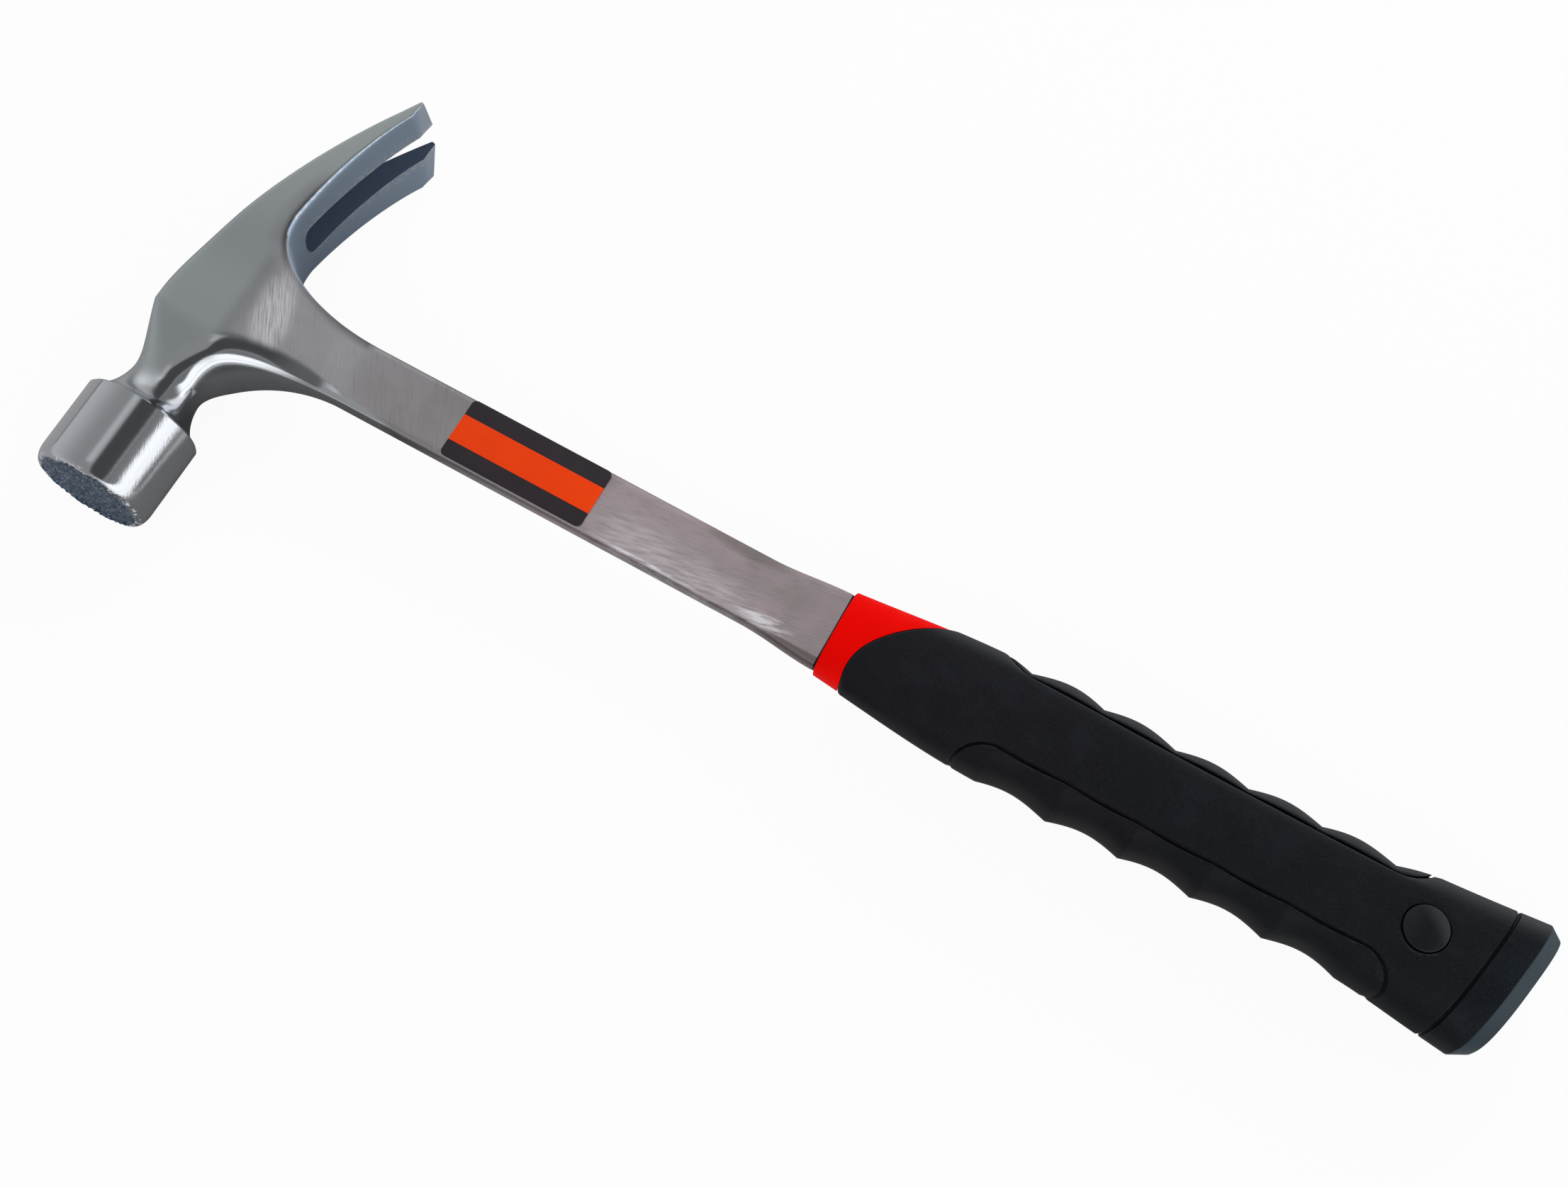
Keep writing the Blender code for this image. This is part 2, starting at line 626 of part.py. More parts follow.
def plug(name, side, datum, finish):
    seat = pin_seat() + SEAT_GAP
    surface = grip_half(PIN_X)[1]
    profile = [(PLUG_RADIUS, seat), (PLUG_RADIUS, surface)]
    for turn in np.linspace(0.2, math.pi / 2 - 0.12, 4):
        profile.append((PLUG_RADIUS * math.cos(turn), surface + PLUG_DOME * math.sin(turn)))
    made = turned(name, profile, PIN_X, 0.0, datum, finish)
    if side < 0:
        made.rotation_euler = (math.pi, 0.0, 0.0)
    return made


def tang_pin(datum, finish):
    length = pin_seat()
    chamfer = PIN_RADIUS / 6
    profile = [(PIN_RADIUS - chamfer, -length), (PIN_RADIUS, chamfer - length)]
    profile += [(PIN_RADIUS, length - chamfer), (PIN_RADIUS - chamfer, length)]
    return turned("tang_pin", profile, PIN_X, 0.0, datum, finish)


def shank_label(datum, finish):
    x0 = LABEL_CORNER - LABEL_LENGTH / 2
    y0 = LABEL_CORNER - LABEL_WIDTH / 2
    corners = [((x0, y0), 180), ((-x0, y0), 270), ((-x0, -y0), 0), ((x0, -y0), 90)]
    outline = np.concatenate([corner_arc(c, LABEL_CORNER, first, first + 90, 4) for c, first in corners])
    made = place("shank_label", *prism(outline, 0.0, LABEL_THICKNESS), datum, finish)
    made.location = (LABEL_START + LABEL_LENGTH / 2, 0.0, SHANK_HALF + SEAT_GAP / 3)
    return made


def stand_on_origin(datum, pieces):
    """Moves the datum so that the origin lies under the middle of the object."""
    bpy.context.view_layer.update()
    graph = bpy.context.evaluated_depsgraph_get()
    corners = []
    for piece in pieces:
        ready = piece.evaluated_get(graph)
        corners += [ready.matrix_world @ vertex.co for vertex in ready.data.vertices]
    corners = np.array(corners)
    low = corners.min(axis=0)
    high = corners.max(axis=0)
    datum.location = (-(low[0] + high[0]) / 2, -(low[1] + high[1]) / 2, -low[2])
    print("size in mm:", np.round((high - low) * 1000, 2))
    print("datum in mm:", [round(v * 1000, 3) for v in datum.location])


def main():
    for old in list(bpy.data.objects):
        bpy.data.objects.remove(old)
    datum = bpy.data.objects.new("hammer_datum", None)
    bpy.context.scene.collection.objects.link(datum)
    steel = material("forged_steel", (0.52, 0.52, 0.53), 0.3, 1.0)
    red = material("red_core", (0.80, 0.01, 0.005), 0.45, 0.0)
    black = material("black_jacket", (0.012, 0.012, 0.015), 0.75, 0.0)
    label_film = material("label_print", (0.85, 0.06, 0.005), 0.4, 0.0)
    space = core_space(datum)
    hammer = forged_hammer(datum, steel)
    cap = butt_cap(datum, black, space)
    grip_core(datum, red)
    grip_jacket(datum, black, space)
    finger_pad("front_finger_pad", -1, datum, black, space)
    finger_pad("rear_finger_pad", 1, datum, black, space)
    plug("plug_upper", 1, datum, black)
    plug("plug_lower", -1, datum, black)
    tang_pin(datum, steel)
    shank_label(datum, label_film)
    stand_on_origin(datum, [hammer, cap])


main()
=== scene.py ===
# %% [markdown]
# # A one-piece rip hammer
# The tool is one steel forging (bell, neck, cheeks, claw, shank and tang) with a two-colour grip moulded
# round its tang. The packed solids give every size and place. This lesson dresses them: each visible
# solid is built again from the same measures, on a finer mesh with round edges, and gets a procedural
# finish.

# %% Load the packed solids
import math

import bmesh
import bpy
import numpy as np
from mathutils import Matrix, Vector


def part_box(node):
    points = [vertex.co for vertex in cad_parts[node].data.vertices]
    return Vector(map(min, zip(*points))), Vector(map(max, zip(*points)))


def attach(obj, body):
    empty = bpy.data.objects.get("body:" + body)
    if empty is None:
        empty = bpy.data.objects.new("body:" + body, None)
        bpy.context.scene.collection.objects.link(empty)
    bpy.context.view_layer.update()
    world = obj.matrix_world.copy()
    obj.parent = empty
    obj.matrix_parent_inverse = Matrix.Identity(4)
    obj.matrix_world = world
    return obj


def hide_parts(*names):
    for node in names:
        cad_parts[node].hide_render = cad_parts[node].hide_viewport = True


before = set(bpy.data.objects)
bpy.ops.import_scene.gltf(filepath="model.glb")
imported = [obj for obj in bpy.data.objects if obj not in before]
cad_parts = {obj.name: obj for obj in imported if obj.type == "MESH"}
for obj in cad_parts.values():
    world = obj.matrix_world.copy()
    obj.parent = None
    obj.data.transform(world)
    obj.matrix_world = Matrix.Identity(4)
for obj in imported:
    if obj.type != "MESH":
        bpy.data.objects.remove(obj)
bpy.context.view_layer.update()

print("solids:", sorted(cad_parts))

# %% [markdown]
# ## One frame for all pieces
# A drawing of a hammer is easiest to read in millimetres from the point where the bell's axis crosses the
# handle's axis. The forging's box tells where that point lies among the solids: the bell is its lowest
# reach along X, the striking face its lowest reach along Y, and the cheeks lie evenly about the middle
# of its height. Every piece is built about that point, and its place then goes into its mesh.

# %% Datum
MM = 0.001
BELL_RADIUS = 16.7
FACE_Y = -64.8
low, high = (np.array(corner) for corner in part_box("forged_hammer"))
DATUM = np.array([low[0] + BELL_RADIUS * MM, low[1] - FACE_Y * MM, (low[2] + high[2]) / 2])
print("datum in mm:", np.round(DATUM / MM, 3))

# %% [markdown]
# ## From rings to a solid piece
# Forged and moulded pieces have no flat outline to extrude. Each is lofted instead: rings of points are
# joined to a closed skin. Boolean modifiers then cut beds and hollows, and are applied, so that every piece
# ends as one plain mesh with smooth shading and sharp corners.

# %% Mesh helpers
SHARP_ANGLE = 35.0


def face_outward(mesh):
    """Turns all faces one way, and that way outward. A half that is open at Z = 0 works too."""
    shell = bmesh.new()
    shell.from_mesh(mesh)
    bmesh.ops.recalc_face_normals(shell, faces=shell.faces)
    if shell.calc_volume(signed=True) < 0:
        bmesh.ops.reverse_faces(shell, faces=shell.faces)
    shell.to_mesh(mesh)
    shell.free()


def show(name, data):
    """An object for a mesh, lens or lamp, in the scene."""
    made = bpy.data.objects.new(name, data)
    bpy.context.scene.collection.objects.link(made)
    return made


def shade(mesh, sharp):
    """Smooth shading, apart from edges that turn by more than sharp degrees."""
    mesh.shade_smooth()
    mesh.set_sharp_from_angle(angle=math.radians(sharp))


def new_piece(name, points, faces):
    """A smooth-shaded mesh object from points in millimetres about the datum."""
    mesh = bpy.data.meshes.new(name)
    mesh.from_pydata(np.asarray(points, dtype=float).tolist(), [], faces)
    face_outward(mesh)
    mesh.transform(Matrix.Translation(DATUM) @ Matrix.Scale(MM, 4))
    shade(mesh, SHARP_ANGLE)
    return show(name, mesh)


def loft(rings, capped=True):
    """Points and outward faces through rings that turn anticlockwise about the way they advance."""
    count = len(rings[0])
    faces = []
    rows = len(rings)
    for row in range(rows - 1 if capped else rows):
        here = row * count
        ahead = (row + 1) % rows * count
        for i in range(count):
            j = (i + 1) % count
            faces.append([here + i, here + j, ahead + j, ahead + i])
    if capped:
        faces.append(list(range(count))[::-1])
        faces.append([(rows - 1) * count + i for i in range(count)])
    return np.concatenate(rings), faces


def raised(plan, z):
    """A ring that has its outline in X and Y, at one height."""
    return np.column_stack([plan, np.full(len(plan), z)])


def settle(piece, sharp=SHARP_ANGLE):
    """Applies the modifiers of a piece and shades what is left."""
    bpy.context.view_layer.update()
    ready = piece.evaluated_get(bpy.context.evaluated_depsgraph_get())
    mesh = bpy.data.meshes.new_from_object(ready)
    piece.modifiers.clear()
    piece.data = mesh
    mesh.name = piece.name
    shade(mesh, sharp)
    print(piece.name, "has", len(mesh.polygons), "faces")
    return piece


def carve(piece, *steps):
    """Boolean steps on a piece, each an operation and its tool. The tools are gone afterwards."""
    for operation, tool in steps:
        step = piece.modifiers.new(f"{operation.lower()}_{tool.name}", "BOOLEAN")
        step.operation = operation
        step.solver = "MANIFOLD"
        step.object = tool
    settle(piece)
    for _, tool in steps:
        bpy.data.objects.remove(tool)
    return piece


square = [(0, 0), (1, 0), (1, 1), (0, 1)]
print("a box is lofted from", len(loft([raised(square, 0), raised(square, 1)])[1]), "faces")

# %% [markdown]
# ## Rules that several pieces share
# A forged or moulded section is seldom a circle or a box. A superellipse covers both and all between with
# one number: 2 is an ellipse, and 10 is a box with small round corners. A smooth step eases one value into
# another, and a spline runs through the few widths that are known along the grip.

# %% Curves
def smooth_step(share):
    share = np.clip(share, 0.0, 1.0)
    return share * share * (3.0 - 2.0 * share)


def fade(values, start, end):
    """0 before start, 1 past end and smooth between."""
    return smooth_step((values - start) / (end - start))


def spline(places, values, x):
    """A cubic Hermite curve through values at places, read at x."""
    places = np.asarray(places, dtype=float)
    values = np.asarray(values, dtype=float)
    slopes = np.gradient(values, places)
    i = np.clip(np.searchsorted(places, x) - 1, 0, len(places) - 2)
    span = places[i + 1] - places[i]
    u = (x - places[i]) / span
    start = (1 + 2 * u) * (1 - u) ** 2 * values[i] + u * (1 - u) ** 2 * span * slopes[i]
    end = u * u * (3 - 2 * u) * values[i + 1] + u * u * (u - 1) * span * slopes[i + 1]
    return start + end


def quarter(steps, exponent):
    """Across and up factors along a quarter superellipse, from its edge to its crown."""
    turn = np.linspace(0.0, math.pi / 2, steps + 1)
    across = np.cos(turn) ** (2 / exponent)
    across[-1] = 0.0
    return across, np.sin(turn) ** (2 / exponent)


print("quarter of a square-cornered section:", np.round(quarter(4, 10.0)[0], 3))

# %% [markdown]
# ## Shader maths as plain expressions
# A procedural finish is mostly arithmetic on masks. Wrapping a socket in a small class lets that
# arithmetic be written as Python, such as `1 - mask`, and each operator adds one Math node.

# %% A wire
class Wire:
    """An output socket of a finish. Arithmetic on it adds Math nodes."""

    def __init__(self, finish, socket):
        self.finish = finish
        self.socket = socket

    def maths(self, operation, first, second):
        return self.finish.node("ShaderNodeMath", {"operation": operation}, {0: first, 1: second})

    def __add__(self, other):
        return self.maths("ADD", self, other)

    def __sub__(self, other):
        return self.maths("SUBTRACT", self, other)

    def __rsub__(self, other):
        return self.maths("SUBTRACT", other, self)

    def __mul__(self, other):
        return self.maths("MULTIPLY", self, other)

    def __truediv__(self, other):
        return self.maths("DIVIDE", self, other)

    def __pow__(self, other):
        return self.maths("POWER", self, other)

    __radd__ = __add__
    __rmul__ = __mul__

    def between(self, start, end):
        """0 below start, 1 above end and smooth between."""
        ease = {"interpolation_type": "SMOOTHSTEP"}
        limits = {"Value": self, "From Min": start, "From Max": end}
        return self.finish.node("ShaderNodeMapRange", ease, limits)

    def inside(self, start, end, soft):
        """1 between start and end, and 0 a little outside."""
        return self.between(start - soft, start + soft) * (1 - self.between(end - soft, end + soft))


def oval(x, y, centre, radii):
    """1 in the middle of an oval in plan, easing to 0 at its rim."""
    return 1 - (((x - centre[0]) / radii[0]) ** 2 + ((y - centre[1]) / radii[1]) ** 2).between(0.1, 1.2)


print("a wire knows", ", ".join(name for name in vars(Wire) if not name.startswith("_")))

# %% [markdown]
# ## Nodes from one method
# Every other node comes from one method, which takes the node's type, its settings and what goes into its
# sockets. Materials, the world and Geometry Nodes all use it. Colours are built like paint, in coats: each
# coat is a mask and a tint, and lies over the ones before it.

# %% Nodes
class Nodes:
    """A node tree, with its nodes made by one method."""

    def __init__(self, tree):
        self.tree = tree

    def node(self, kind, settings=None, sockets=None, output=0):
        """Adds a node and returns its output, or several outputs where a tuple names them."""
        made = self.tree.nodes.new(kind)
        for key, value in (settings or {}).items():
            setattr(made, key, value)
        self.feed(made, sockets or {})
        if isinstance(output, tuple):
            return [Wire(self, made.outputs[key]) for key in output]
        return Wire(self, made.outputs[output])

    def feed(self, node, sockets):
        """Links a wire to each socket, or sets its value."""
        for key, value in sockets.items():
            if isinstance(value, Wire):
                self.tree.links.new(value.socket, node.inputs[key])
            else:
                node.inputs[key].default_value = value

    def split(self, vector):
        """The X, Y and Z of a vector."""
        return self.node("ShaderNodeSeparateXYZ", None, {0: vector}, ("X", "Y", "Z"))

    def blend(self, share, first, second):
        """A mix of two colours."""
        return self.node("ShaderNodeMix", {"data_type": "RGBA"}, {0: share, 6: first, 7: second}, 2)

    def layers(self, tone, *coats):
        """A colour with coats laid over it, each a share from 0 to 1 and a tint."""
        for share, colour in coats:
            tone = self.blend(share, tone, tint(*colour))
        return tone


def tint(red, green, blue):
    """A colour as the eye reads it, 0 to 255, turned into the linear values that a shader takes."""
    shares = [value / 255 for value in (red, green, blue)]
    linear = [s / 12.92 if s <= 0.04045 else ((s + 0.055) / 1.055) ** 2.4 for s in shares]
    return (*linear, 1.0)


print("mid grey in linear light:", round(tint(128, 128, 128)[0], 3))

# %% [markdown]
# ## A finish
# All finishes share a few patterns: where a point lies on the hammer, noise whose size is given in
# millimetres, a mask that was painted on the mesh, and relief. As methods they keep each finish below to
# the lines that tell what it looks like.

# %% A finish
class Finish(Nodes):
    """A procedural material."""

    def __init__(self, name):
        self.material = bpy.data.materials.new(name)
        self.material.use_nodes = True
        super().__init__(self.material.node_tree)
        self.shader = self.tree.nodes["Principled BSDF"]

    def place(self):
        """The point on the piece, in metres in the frame of the solids."""
        return self.node("ShaderNodeTexCoord", output="Object")

    def axes(self):
        """The point's distances from the datum along X, Y and Z, in millimetres."""
        pair = {0: self.place(), 1: tuple(DATUM)}
        moved = self.node("ShaderNodeVectorMath", {"operation": "SUBTRACT"}, pair)
        scaled = self.node("ShaderNodeVectorMath", {"operation": "SCALE"}, {0: moved, "Scale": 1 / MM})
        return self.split(scaled)

    def grain(self, size, detail=3.0, stretch=(1.0, 1.0, 1.0), turn=0.0, roughness=0.55):
        """Noise from 0 to 1 whose features are about size millimetres across, times stretch."""
        scale = tuple(1.0 / (size * MM * s) for s in stretch)
        about_z = {"Vector": self.place(), "Rotation": (0.0, 0.0, turn)}
        turned = self.node("ShaderNodeMapping", None, about_z)
        spread = self.node("ShaderNodeMapping", None, {"Vector": turned, "Scale": scale})
        values = {"Vector": spread, "Scale": 1.0, "Detail": detail, "Roughness": roughness}
        return self.node("ShaderNodeTexNoise", None, values)

    def mask(self, name):
        """A mask that was painted on the mesh, and 0 on a mesh without it."""
        return self.node("ShaderNodeAttribute", {"attribute_name": name}, output="Fac")

    def bump(self, height, distance, strength=1.0, under=None):
        """A normal from a height of 0 to 1 that stands for distance millimetres."""
        sockets = {"Height": height, "Distance": distance * MM, "Strength": strength}
        if under:
            sockets["Normal"] = under
        return self.node("ShaderNodeBump", None, sockets)

    def surface(self, **sockets):
        """Sets the Principled shader's sockets, by name with _ for a space."""
        self.feed(self.shader, {key.replace("_", " "): value for key, value in sockets.items()})


print("a finish knows", ", ".join(name for name in vars(Finish) if not name.startswith("_")))

# %% [markdown]
# ## The bell and its neck
# The head is a row of sections along Y: a turned bell, a hollow neck, flat cheeks and a claw. Sculpting
# could give the same shape, but rules keep the bell round, the cheeks flat and the sizes those of the
# solid. The bell and the neck need only one rule, their radius.

# %% Bell and neck
RIM_CHAMFER = 0.6
FACE_ROUND = 4.5
FACE_DROP = 2.2
RIM_Y = -39.0
WAIST_Y = -28.1
NECK_RADIUS = 10.0
NECK_CURVE = 1.75


def round_radius(y):
    """Radius of the bell, its rim chamfer and the hollow of the neck."""
    if y < FACE_Y + FACE_ROUND:
        share = 1 - (y - FACE_Y) / FACE_ROUND
        return BELL_RADIUS - FACE_DROP * (1 - math.sqrt(max(0.0, 1 - share * share)))
    if y < RIM_Y - RIM_CHAMFER:
        return BELL_RADIUS
    if y < RIM_Y:
        return RIM_Y - y + BELL_RADIUS - RIM_CHAMFER
    share = min(1.0, (WAIST_Y - y) / (WAIST_Y - RIM_Y))
    rim = BELL_RADIUS - RIM_CHAMFER
    return rim - (rim - NECK_RADIUS) * (1 - share**NECK_CURVE) ** (1 / NECK_CURVE)


print("the neck is", 2 * round_radius(WAIST_Y), "mm thick")

# %% [markdown]
# ## Cheeks and claw
# Behind the neck the sections grow square. The claw thins and spreads towards its tip, and bends towards
# the handle. Each function below is one rule of that row: its top line, its thickness and its half width.

# %% Cheeks and claw
CHEEK_Y = -11.5
NECK_RISE = 1.6
CHEEK_HALF = 13.5
HEAD_TOP = 12.9
ROUND = 2.0
EDGE_SHARPNESS = 10.0
CLAW_ROOT = 27.6
CLAW_REACH = 77.2
CLAW_DROP = 18.5
CLAW_BEND_START = -7.5
CLAW_BEND = 1.55
CLAW_HALF = 19.15
CLAW_SPREAD_START = 1.0
CLAW_SPREAD_LEAD = 0.4
CLAW_SPREAD_EASE = 0.3
CLAW_ROOT_THICKNESS = 13.4
CLAW_TIP_THICKNESS = 4.0
CLAW_EDGE_THICKNESS = 1.0
CLAW_TIP_BEVEL = 6.0
CLAW_TIP_SLANT = 3.6
CLAW_TAPER = 1.18
BEVEL_Y = CLAW_REACH - CLAW_TIP_BEVEL


def claw_top(y):
    """X of the outer curve of the claw and of the head's top."""
    share = np.maximum(0.0, (y - CLAW_BEND_START) / (CLAW_REACH - CLAW_BEND_START))
    return -HEAD_TOP + (HEAD_TOP + CLAW_DROP) * share**CLAW_BEND


def claw_thickness(y):
    share = np.clip((y - CLAW_ROOT) / (BEVEL_Y - CLAW_ROOT), 0.0, 1.0)
    taper = (CLAW_ROOT_THICKNESS - CLAW_TIP_THICKNESS) * (1 - share) ** CLAW_TAPER
    bevel = np.clip((y - BEVEL_Y) / CLAW_TIP_BEVEL, 0.0, 1.0)
    return CLAW_TIP_THICKNESS + taper + (CLAW_EDGE_THICKNESS - CLAW_TIP_THICKNESS) * bevel


def head_half(y):
    if y <= WAIST_Y:
        return round_radius(y)
    neck = NECK_RADIUS + (CHEEK_HALF - NECK_RADIUS) * fade(y, WAIST_Y, CHEEK_Y)
    spread = max(0.0, (y - CLAW_SPREAD_START) / (CLAW_REACH - CLAW_SPREAD_START))
    spread *= (1 + CLAW_SPREAD_LEAD * (1 - spread)) * smooth_step(spread / CLAW_SPREAD_EASE)
    return neck + (CLAW_HALF - CHEEK_HALF) * spread


def head_section(y):
    """Top, bottom, half thickness and corner sharpness of the section at y."""
    if y <= WAIST_Y:
        radius = round_radius(y)
        return -radius, radius, radius, ROUND
    share = min(1.0, (y - WAIST_Y) / (CHEEK_Y - WAIST_Y))
    top = claw_top(y) + (HEAD_TOP - NECK_RADIUS) * (1 - share**NECK_RISE)
    sharpness = ROUND + (EDGE_SHARPNESS - ROUND) * share**2
    return top, claw_top(y) + claw_thickness(y), head_half(y), sharpness


print("claw tip is", round(float(claw_thickness(CLAW_REACH)), 2), "mm thick")

# %% [markdown]
# ## Shank rules
# The shank leaves the head through two hollow corners: a wide polished arch below the neck and a tighter
# one under the claw. Between them the cheek falls in a hollow slope to the flat shank. Joining head and
# shank with a Boolean would leave a hard crease there, so the shank's mesh fans out of the head's open
# side instead.

# %% Shank rules
SHANK_HALF_WIDTH = 9.85
SHANK_HALF = 3.1
SHANK_EDGE = 2.4
SHANK_SHARPNESS = 3.2
SLOPE_START = 6.0
SLOPE_RUN = 38.0
SLOPE_LEAN = 0.8
ARCH_END = 43.5
ARCH_CURVE = 1.88
ROOT_CURVE = 2.7
COLLAR_X = 190.8
SPREAD_RUN = 23.5
SPREAD_HALF_WIDTH = 11.65
TANG_HALF_WIDTH = 9.0
TANG_TAPER = 8.0
TANG_END = 369.9
ROOT_BOTTOM = claw_top(CLAW_ROOT) + CLAW_ROOT_THICKNESS


def slope_height(x, y):
    share = np.clip((x - SLOPE_START) / SLOPE_RUN, 0.0, 1.0)
    return SHANK_HALF + (head_half(y) - SHANK_HALF) * (1 - smooth_step(share**SLOPE_LEAN))


def hollow_corner(turn, start, end, curve):
    """A point on a round inside corner, and the direction into the steel there."""
    across = max(0.0, math.cos(turn)) ** (2 / curve)
    up = math.sin(turn) ** (2 / curve)
    run = np.array(end) - np.array(start)
    point = np.array([end[0] - run[0] * across, start[1] + run[1] * up])
    inward = np.array([-(across ** (curve - 1)) / abs(run[0]), up ** (curve - 1) / run[1]])
    return point, inward / np.linalg.norm(inward)


def shank_half_width(x):
    spread = smooth_step((x - COLLAR_X + SPREAD_RUN) / SPREAD_RUN)
    taper = smooth_step((x - COLLAR_X) / TANG_TAPER)
    width = SHANK_HALF_WIDTH + (SPREAD_HALF_WIDTH - SHANK_HALF_WIDTH) * spread
    return width + (TANG_HALF_WIDTH - SPREAD_HALF_WIDTH) * taper


half_way = float(slope_height(SLOPE_START + SLOPE_RUN / 2, 0.0))
print("half thickness half way down the slope:", round(half_way, 2), "mm")

# %% [markdown]
# ## Stations along the head
# A mesh shows a curve well only where it has rows enough. The stations crowd at the round edge of the face,
# at the rim's chamfer and in the hollow of the neck, and lie wider apart on the plain cheeks.

# %% Stations along the head
TOOTH_DEPTH = 0.6
RIM_MARGIN = 0.4
ROUND_ROWS = 14
BELL_ROWS = 8
CHAMFER_ROWS = 5
HOLLOW_ROWS = 24
NECK_ROWS = 26
CHEEK_ROWS = 34
CLAW_ROWS = 44
TIP_ROWS = 5


def onward(first, last, count):
    """Even stations from first, which is left out, to last."""
    return list(np.linspace(first, last, count)[1:])


def head_levels():
    """Stations along the head, with the numbers of the narrowest neck and of the claw root."""
    levels = [FACE_Y + TOOTH_DEPTH, FACE_Y]
    levels += list(FACE_Y + FACE_ROUND * (1 - np.cos(np.linspace(0.0, math.pi / 2, ROUND_ROWS))))
    levels += onward(FACE_Y + FACE_ROUND, RIM_Y - RIM_CHAMFER - RIM_MARGIN, BELL_ROWS)
    levels += list(np.linspace(RIM_Y - RIM_CHAMFER, RIM_Y, CHAMFER_ROWS)[:-1])
    hollow = np.cos(np.linspace(0.0, math.pi / 2, HOLLOW_ROWS)) ** (2 / NECK_CURVE)
    levels += list(WAIST_Y - (WAIST_Y - RIM_Y) * hollow)
    waist = len(levels) - 1
    levels[waist] = WAIST_Y
    levels += onward(WAIST_Y, CHEEK_Y, NECK_ROWS)
    levels += onward(CHEEK_Y, CLAW_ROOT, CHEEK_ROWS)
    root = len(levels) - 1
    levels += onward(CLAW_ROOT, BEVEL_Y, CLAW_ROWS)
    levels += onward(BEVEL_Y, CLAW_REACH, TIP_ROWS)
    return levels, waist, root


print("stations along the head:", len(head_levels()[0]))

# %% [markdown]
# ## The head's mesh
# Half of the forging is drawn, from the middle plane up. The striking face has a shallow pocket, as deep as
# the milled grooves. The teeth will stand in it, and so end where the solid ends. Grooves run out through
# the pocket's rim, so the rim is jagged and has uneven notches.

# %% Rows of the head
TEETH_RADIUS = 14.15
RIM_JAG = 0.2
RIM_NOTCH = 0.55
NOTCH_RHYTHM = 1.9
QUARTER_STEPS = 26


def pocket_share(row, m, radius):
    """Share of the radius that the two rows of the milled pocket have, with a jagged rim."""
    return 1.0 if row > 1 else (TEETH_RADIUS + RIM_JAG * (-1) ** m) / radius


def rim_notch(m):
    """Depth of the milled groove that runs out through the rim at a point, uneven as in use."""
    return RIM_NOTCH * abs(math.sin(NOTCH_RHYTHM * m)) if m % 2 else 0.0


def head_rows(points):
    """Adds the head's points and returns the rows of their numbers, bottom to top."""
    steps = QUARTER_STEPS
    levels, waist, root = head_levels()
    root_middle = claw_top(CLAW_ROOT) + CLAW_ROOT_THICKNESS / 2
    rows = []
    for i, y in enumerate(levels):
        top, bottom, half, sharpness = head_section(y)
        across, up = quarter(steps, sharpness)
        open_side = waist < i < root
        middle = (top + bottom) / 2
        if open_side:
            middle = np.interp(y, [WAIST_Y, CLAW_ROOT], [0.0, root_middle])
        slant = CLAW_TIP_SLANT * max(0.0, (y - CLAW_ROOT) / (CLAW_REACH - CLAW_ROOT)) ** 2
        row = [None] * (2 * steps + 1)
        for m in range(steps if open_side else 0, 2 * steps + 1):
            q = min(m, 2 * steps - m)
            reach = bottom - middle if m <= steps else top - middle
            row[m] = len(points)
            share = pocket_share(i, m, half)
            depth = max(y, FACE_Y + rim_notch(m)) if i else y
            height = half * up[q] * share
            points.append((middle + reach * across[q] * share, depth - slant * up[q], height))
        rows.append(row)
    return rows, levels, waist, root


print("points of the head:", sum(point is not None for row in head_rows([])[0] for point in row))

# %% [markdown]
# ## The shank's mesh
# The rows of the shank start at the head's open side, from the neck round to the claw, and straighten as
# they run down both hollow corners. Each row has a rounded edge at the front, the cheek's slope and a
# rounded edge at the rear. A Mirror modifier then closes the half that was drawn.

# %% Half a forging
FAN_STEPS = 44
SHANK_ROWS = 52
MERGE_REACH = 0.01


def edge_column(outline, edge, sharpness):
    """Points up a rounded edge, from the outline at the middle plane to the crown of the edge."""
    across, up = quarter(QUARTER_STEPS, sharpness)
    crown = outline + edge
    height = slope_height(crown[0], crown[1])
    return [(*(outline + edge * (1 - a)), height * u) for a, u in zip(across, up)]


def fan_stations():
    """Front and rear edges of each row of the shank: outline, way in to the crown, sharpness."""
    front_end = (ARCH_END, -SHANK_HALF_WIDTH)
    rear_end = (ARCH_END, SHANK_HALF_WIDTH)
    for turn in np.linspace(0.0, math.pi / 2, FAN_STEPS + 1)[1:]:
        share = 1 - math.cos(turn)
        front, front_in = hollow_corner(turn, (NECK_RADIUS, WAIST_Y), front_end, ARCH_CURVE)
        rear, rear_in = hollow_corner(turn, (ROOT_BOTTOM, CLAW_ROOT), rear_end, ROOT_CURVE)
        front_in = front_in * (NECK_RADIUS + (SHANK_EDGE - NECK_RADIUS) * share)
        rear_in = rear_in * (CLAW_ROOT_THICKNESS / 2 + (SHANK_EDGE - CLAW_ROOT_THICKNESS / 2) * share)
        front_sharp = ROUND + (SHANK_SHARPNESS - ROUND) * share
        rear_sharp = EDGE_SHARPNESS + (SHANK_SHARPNESS - EDGE_SHARPNESS) * share
        yield front, front_in, front_sharp, rear, rear_in, rear_sharp
    edge = np.array([0.0, SHANK_EDGE])
    for x in [*onward(ARCH_END, COLLAR_X + TANG_TAPER, SHANK_ROWS), TANG_END]:
        side = np.array([x, shank_half_width(x)])
        yield side * (1, -1), edge, SHANK_SHARPNESS, side, -edge, SHANK_SHARPNESS


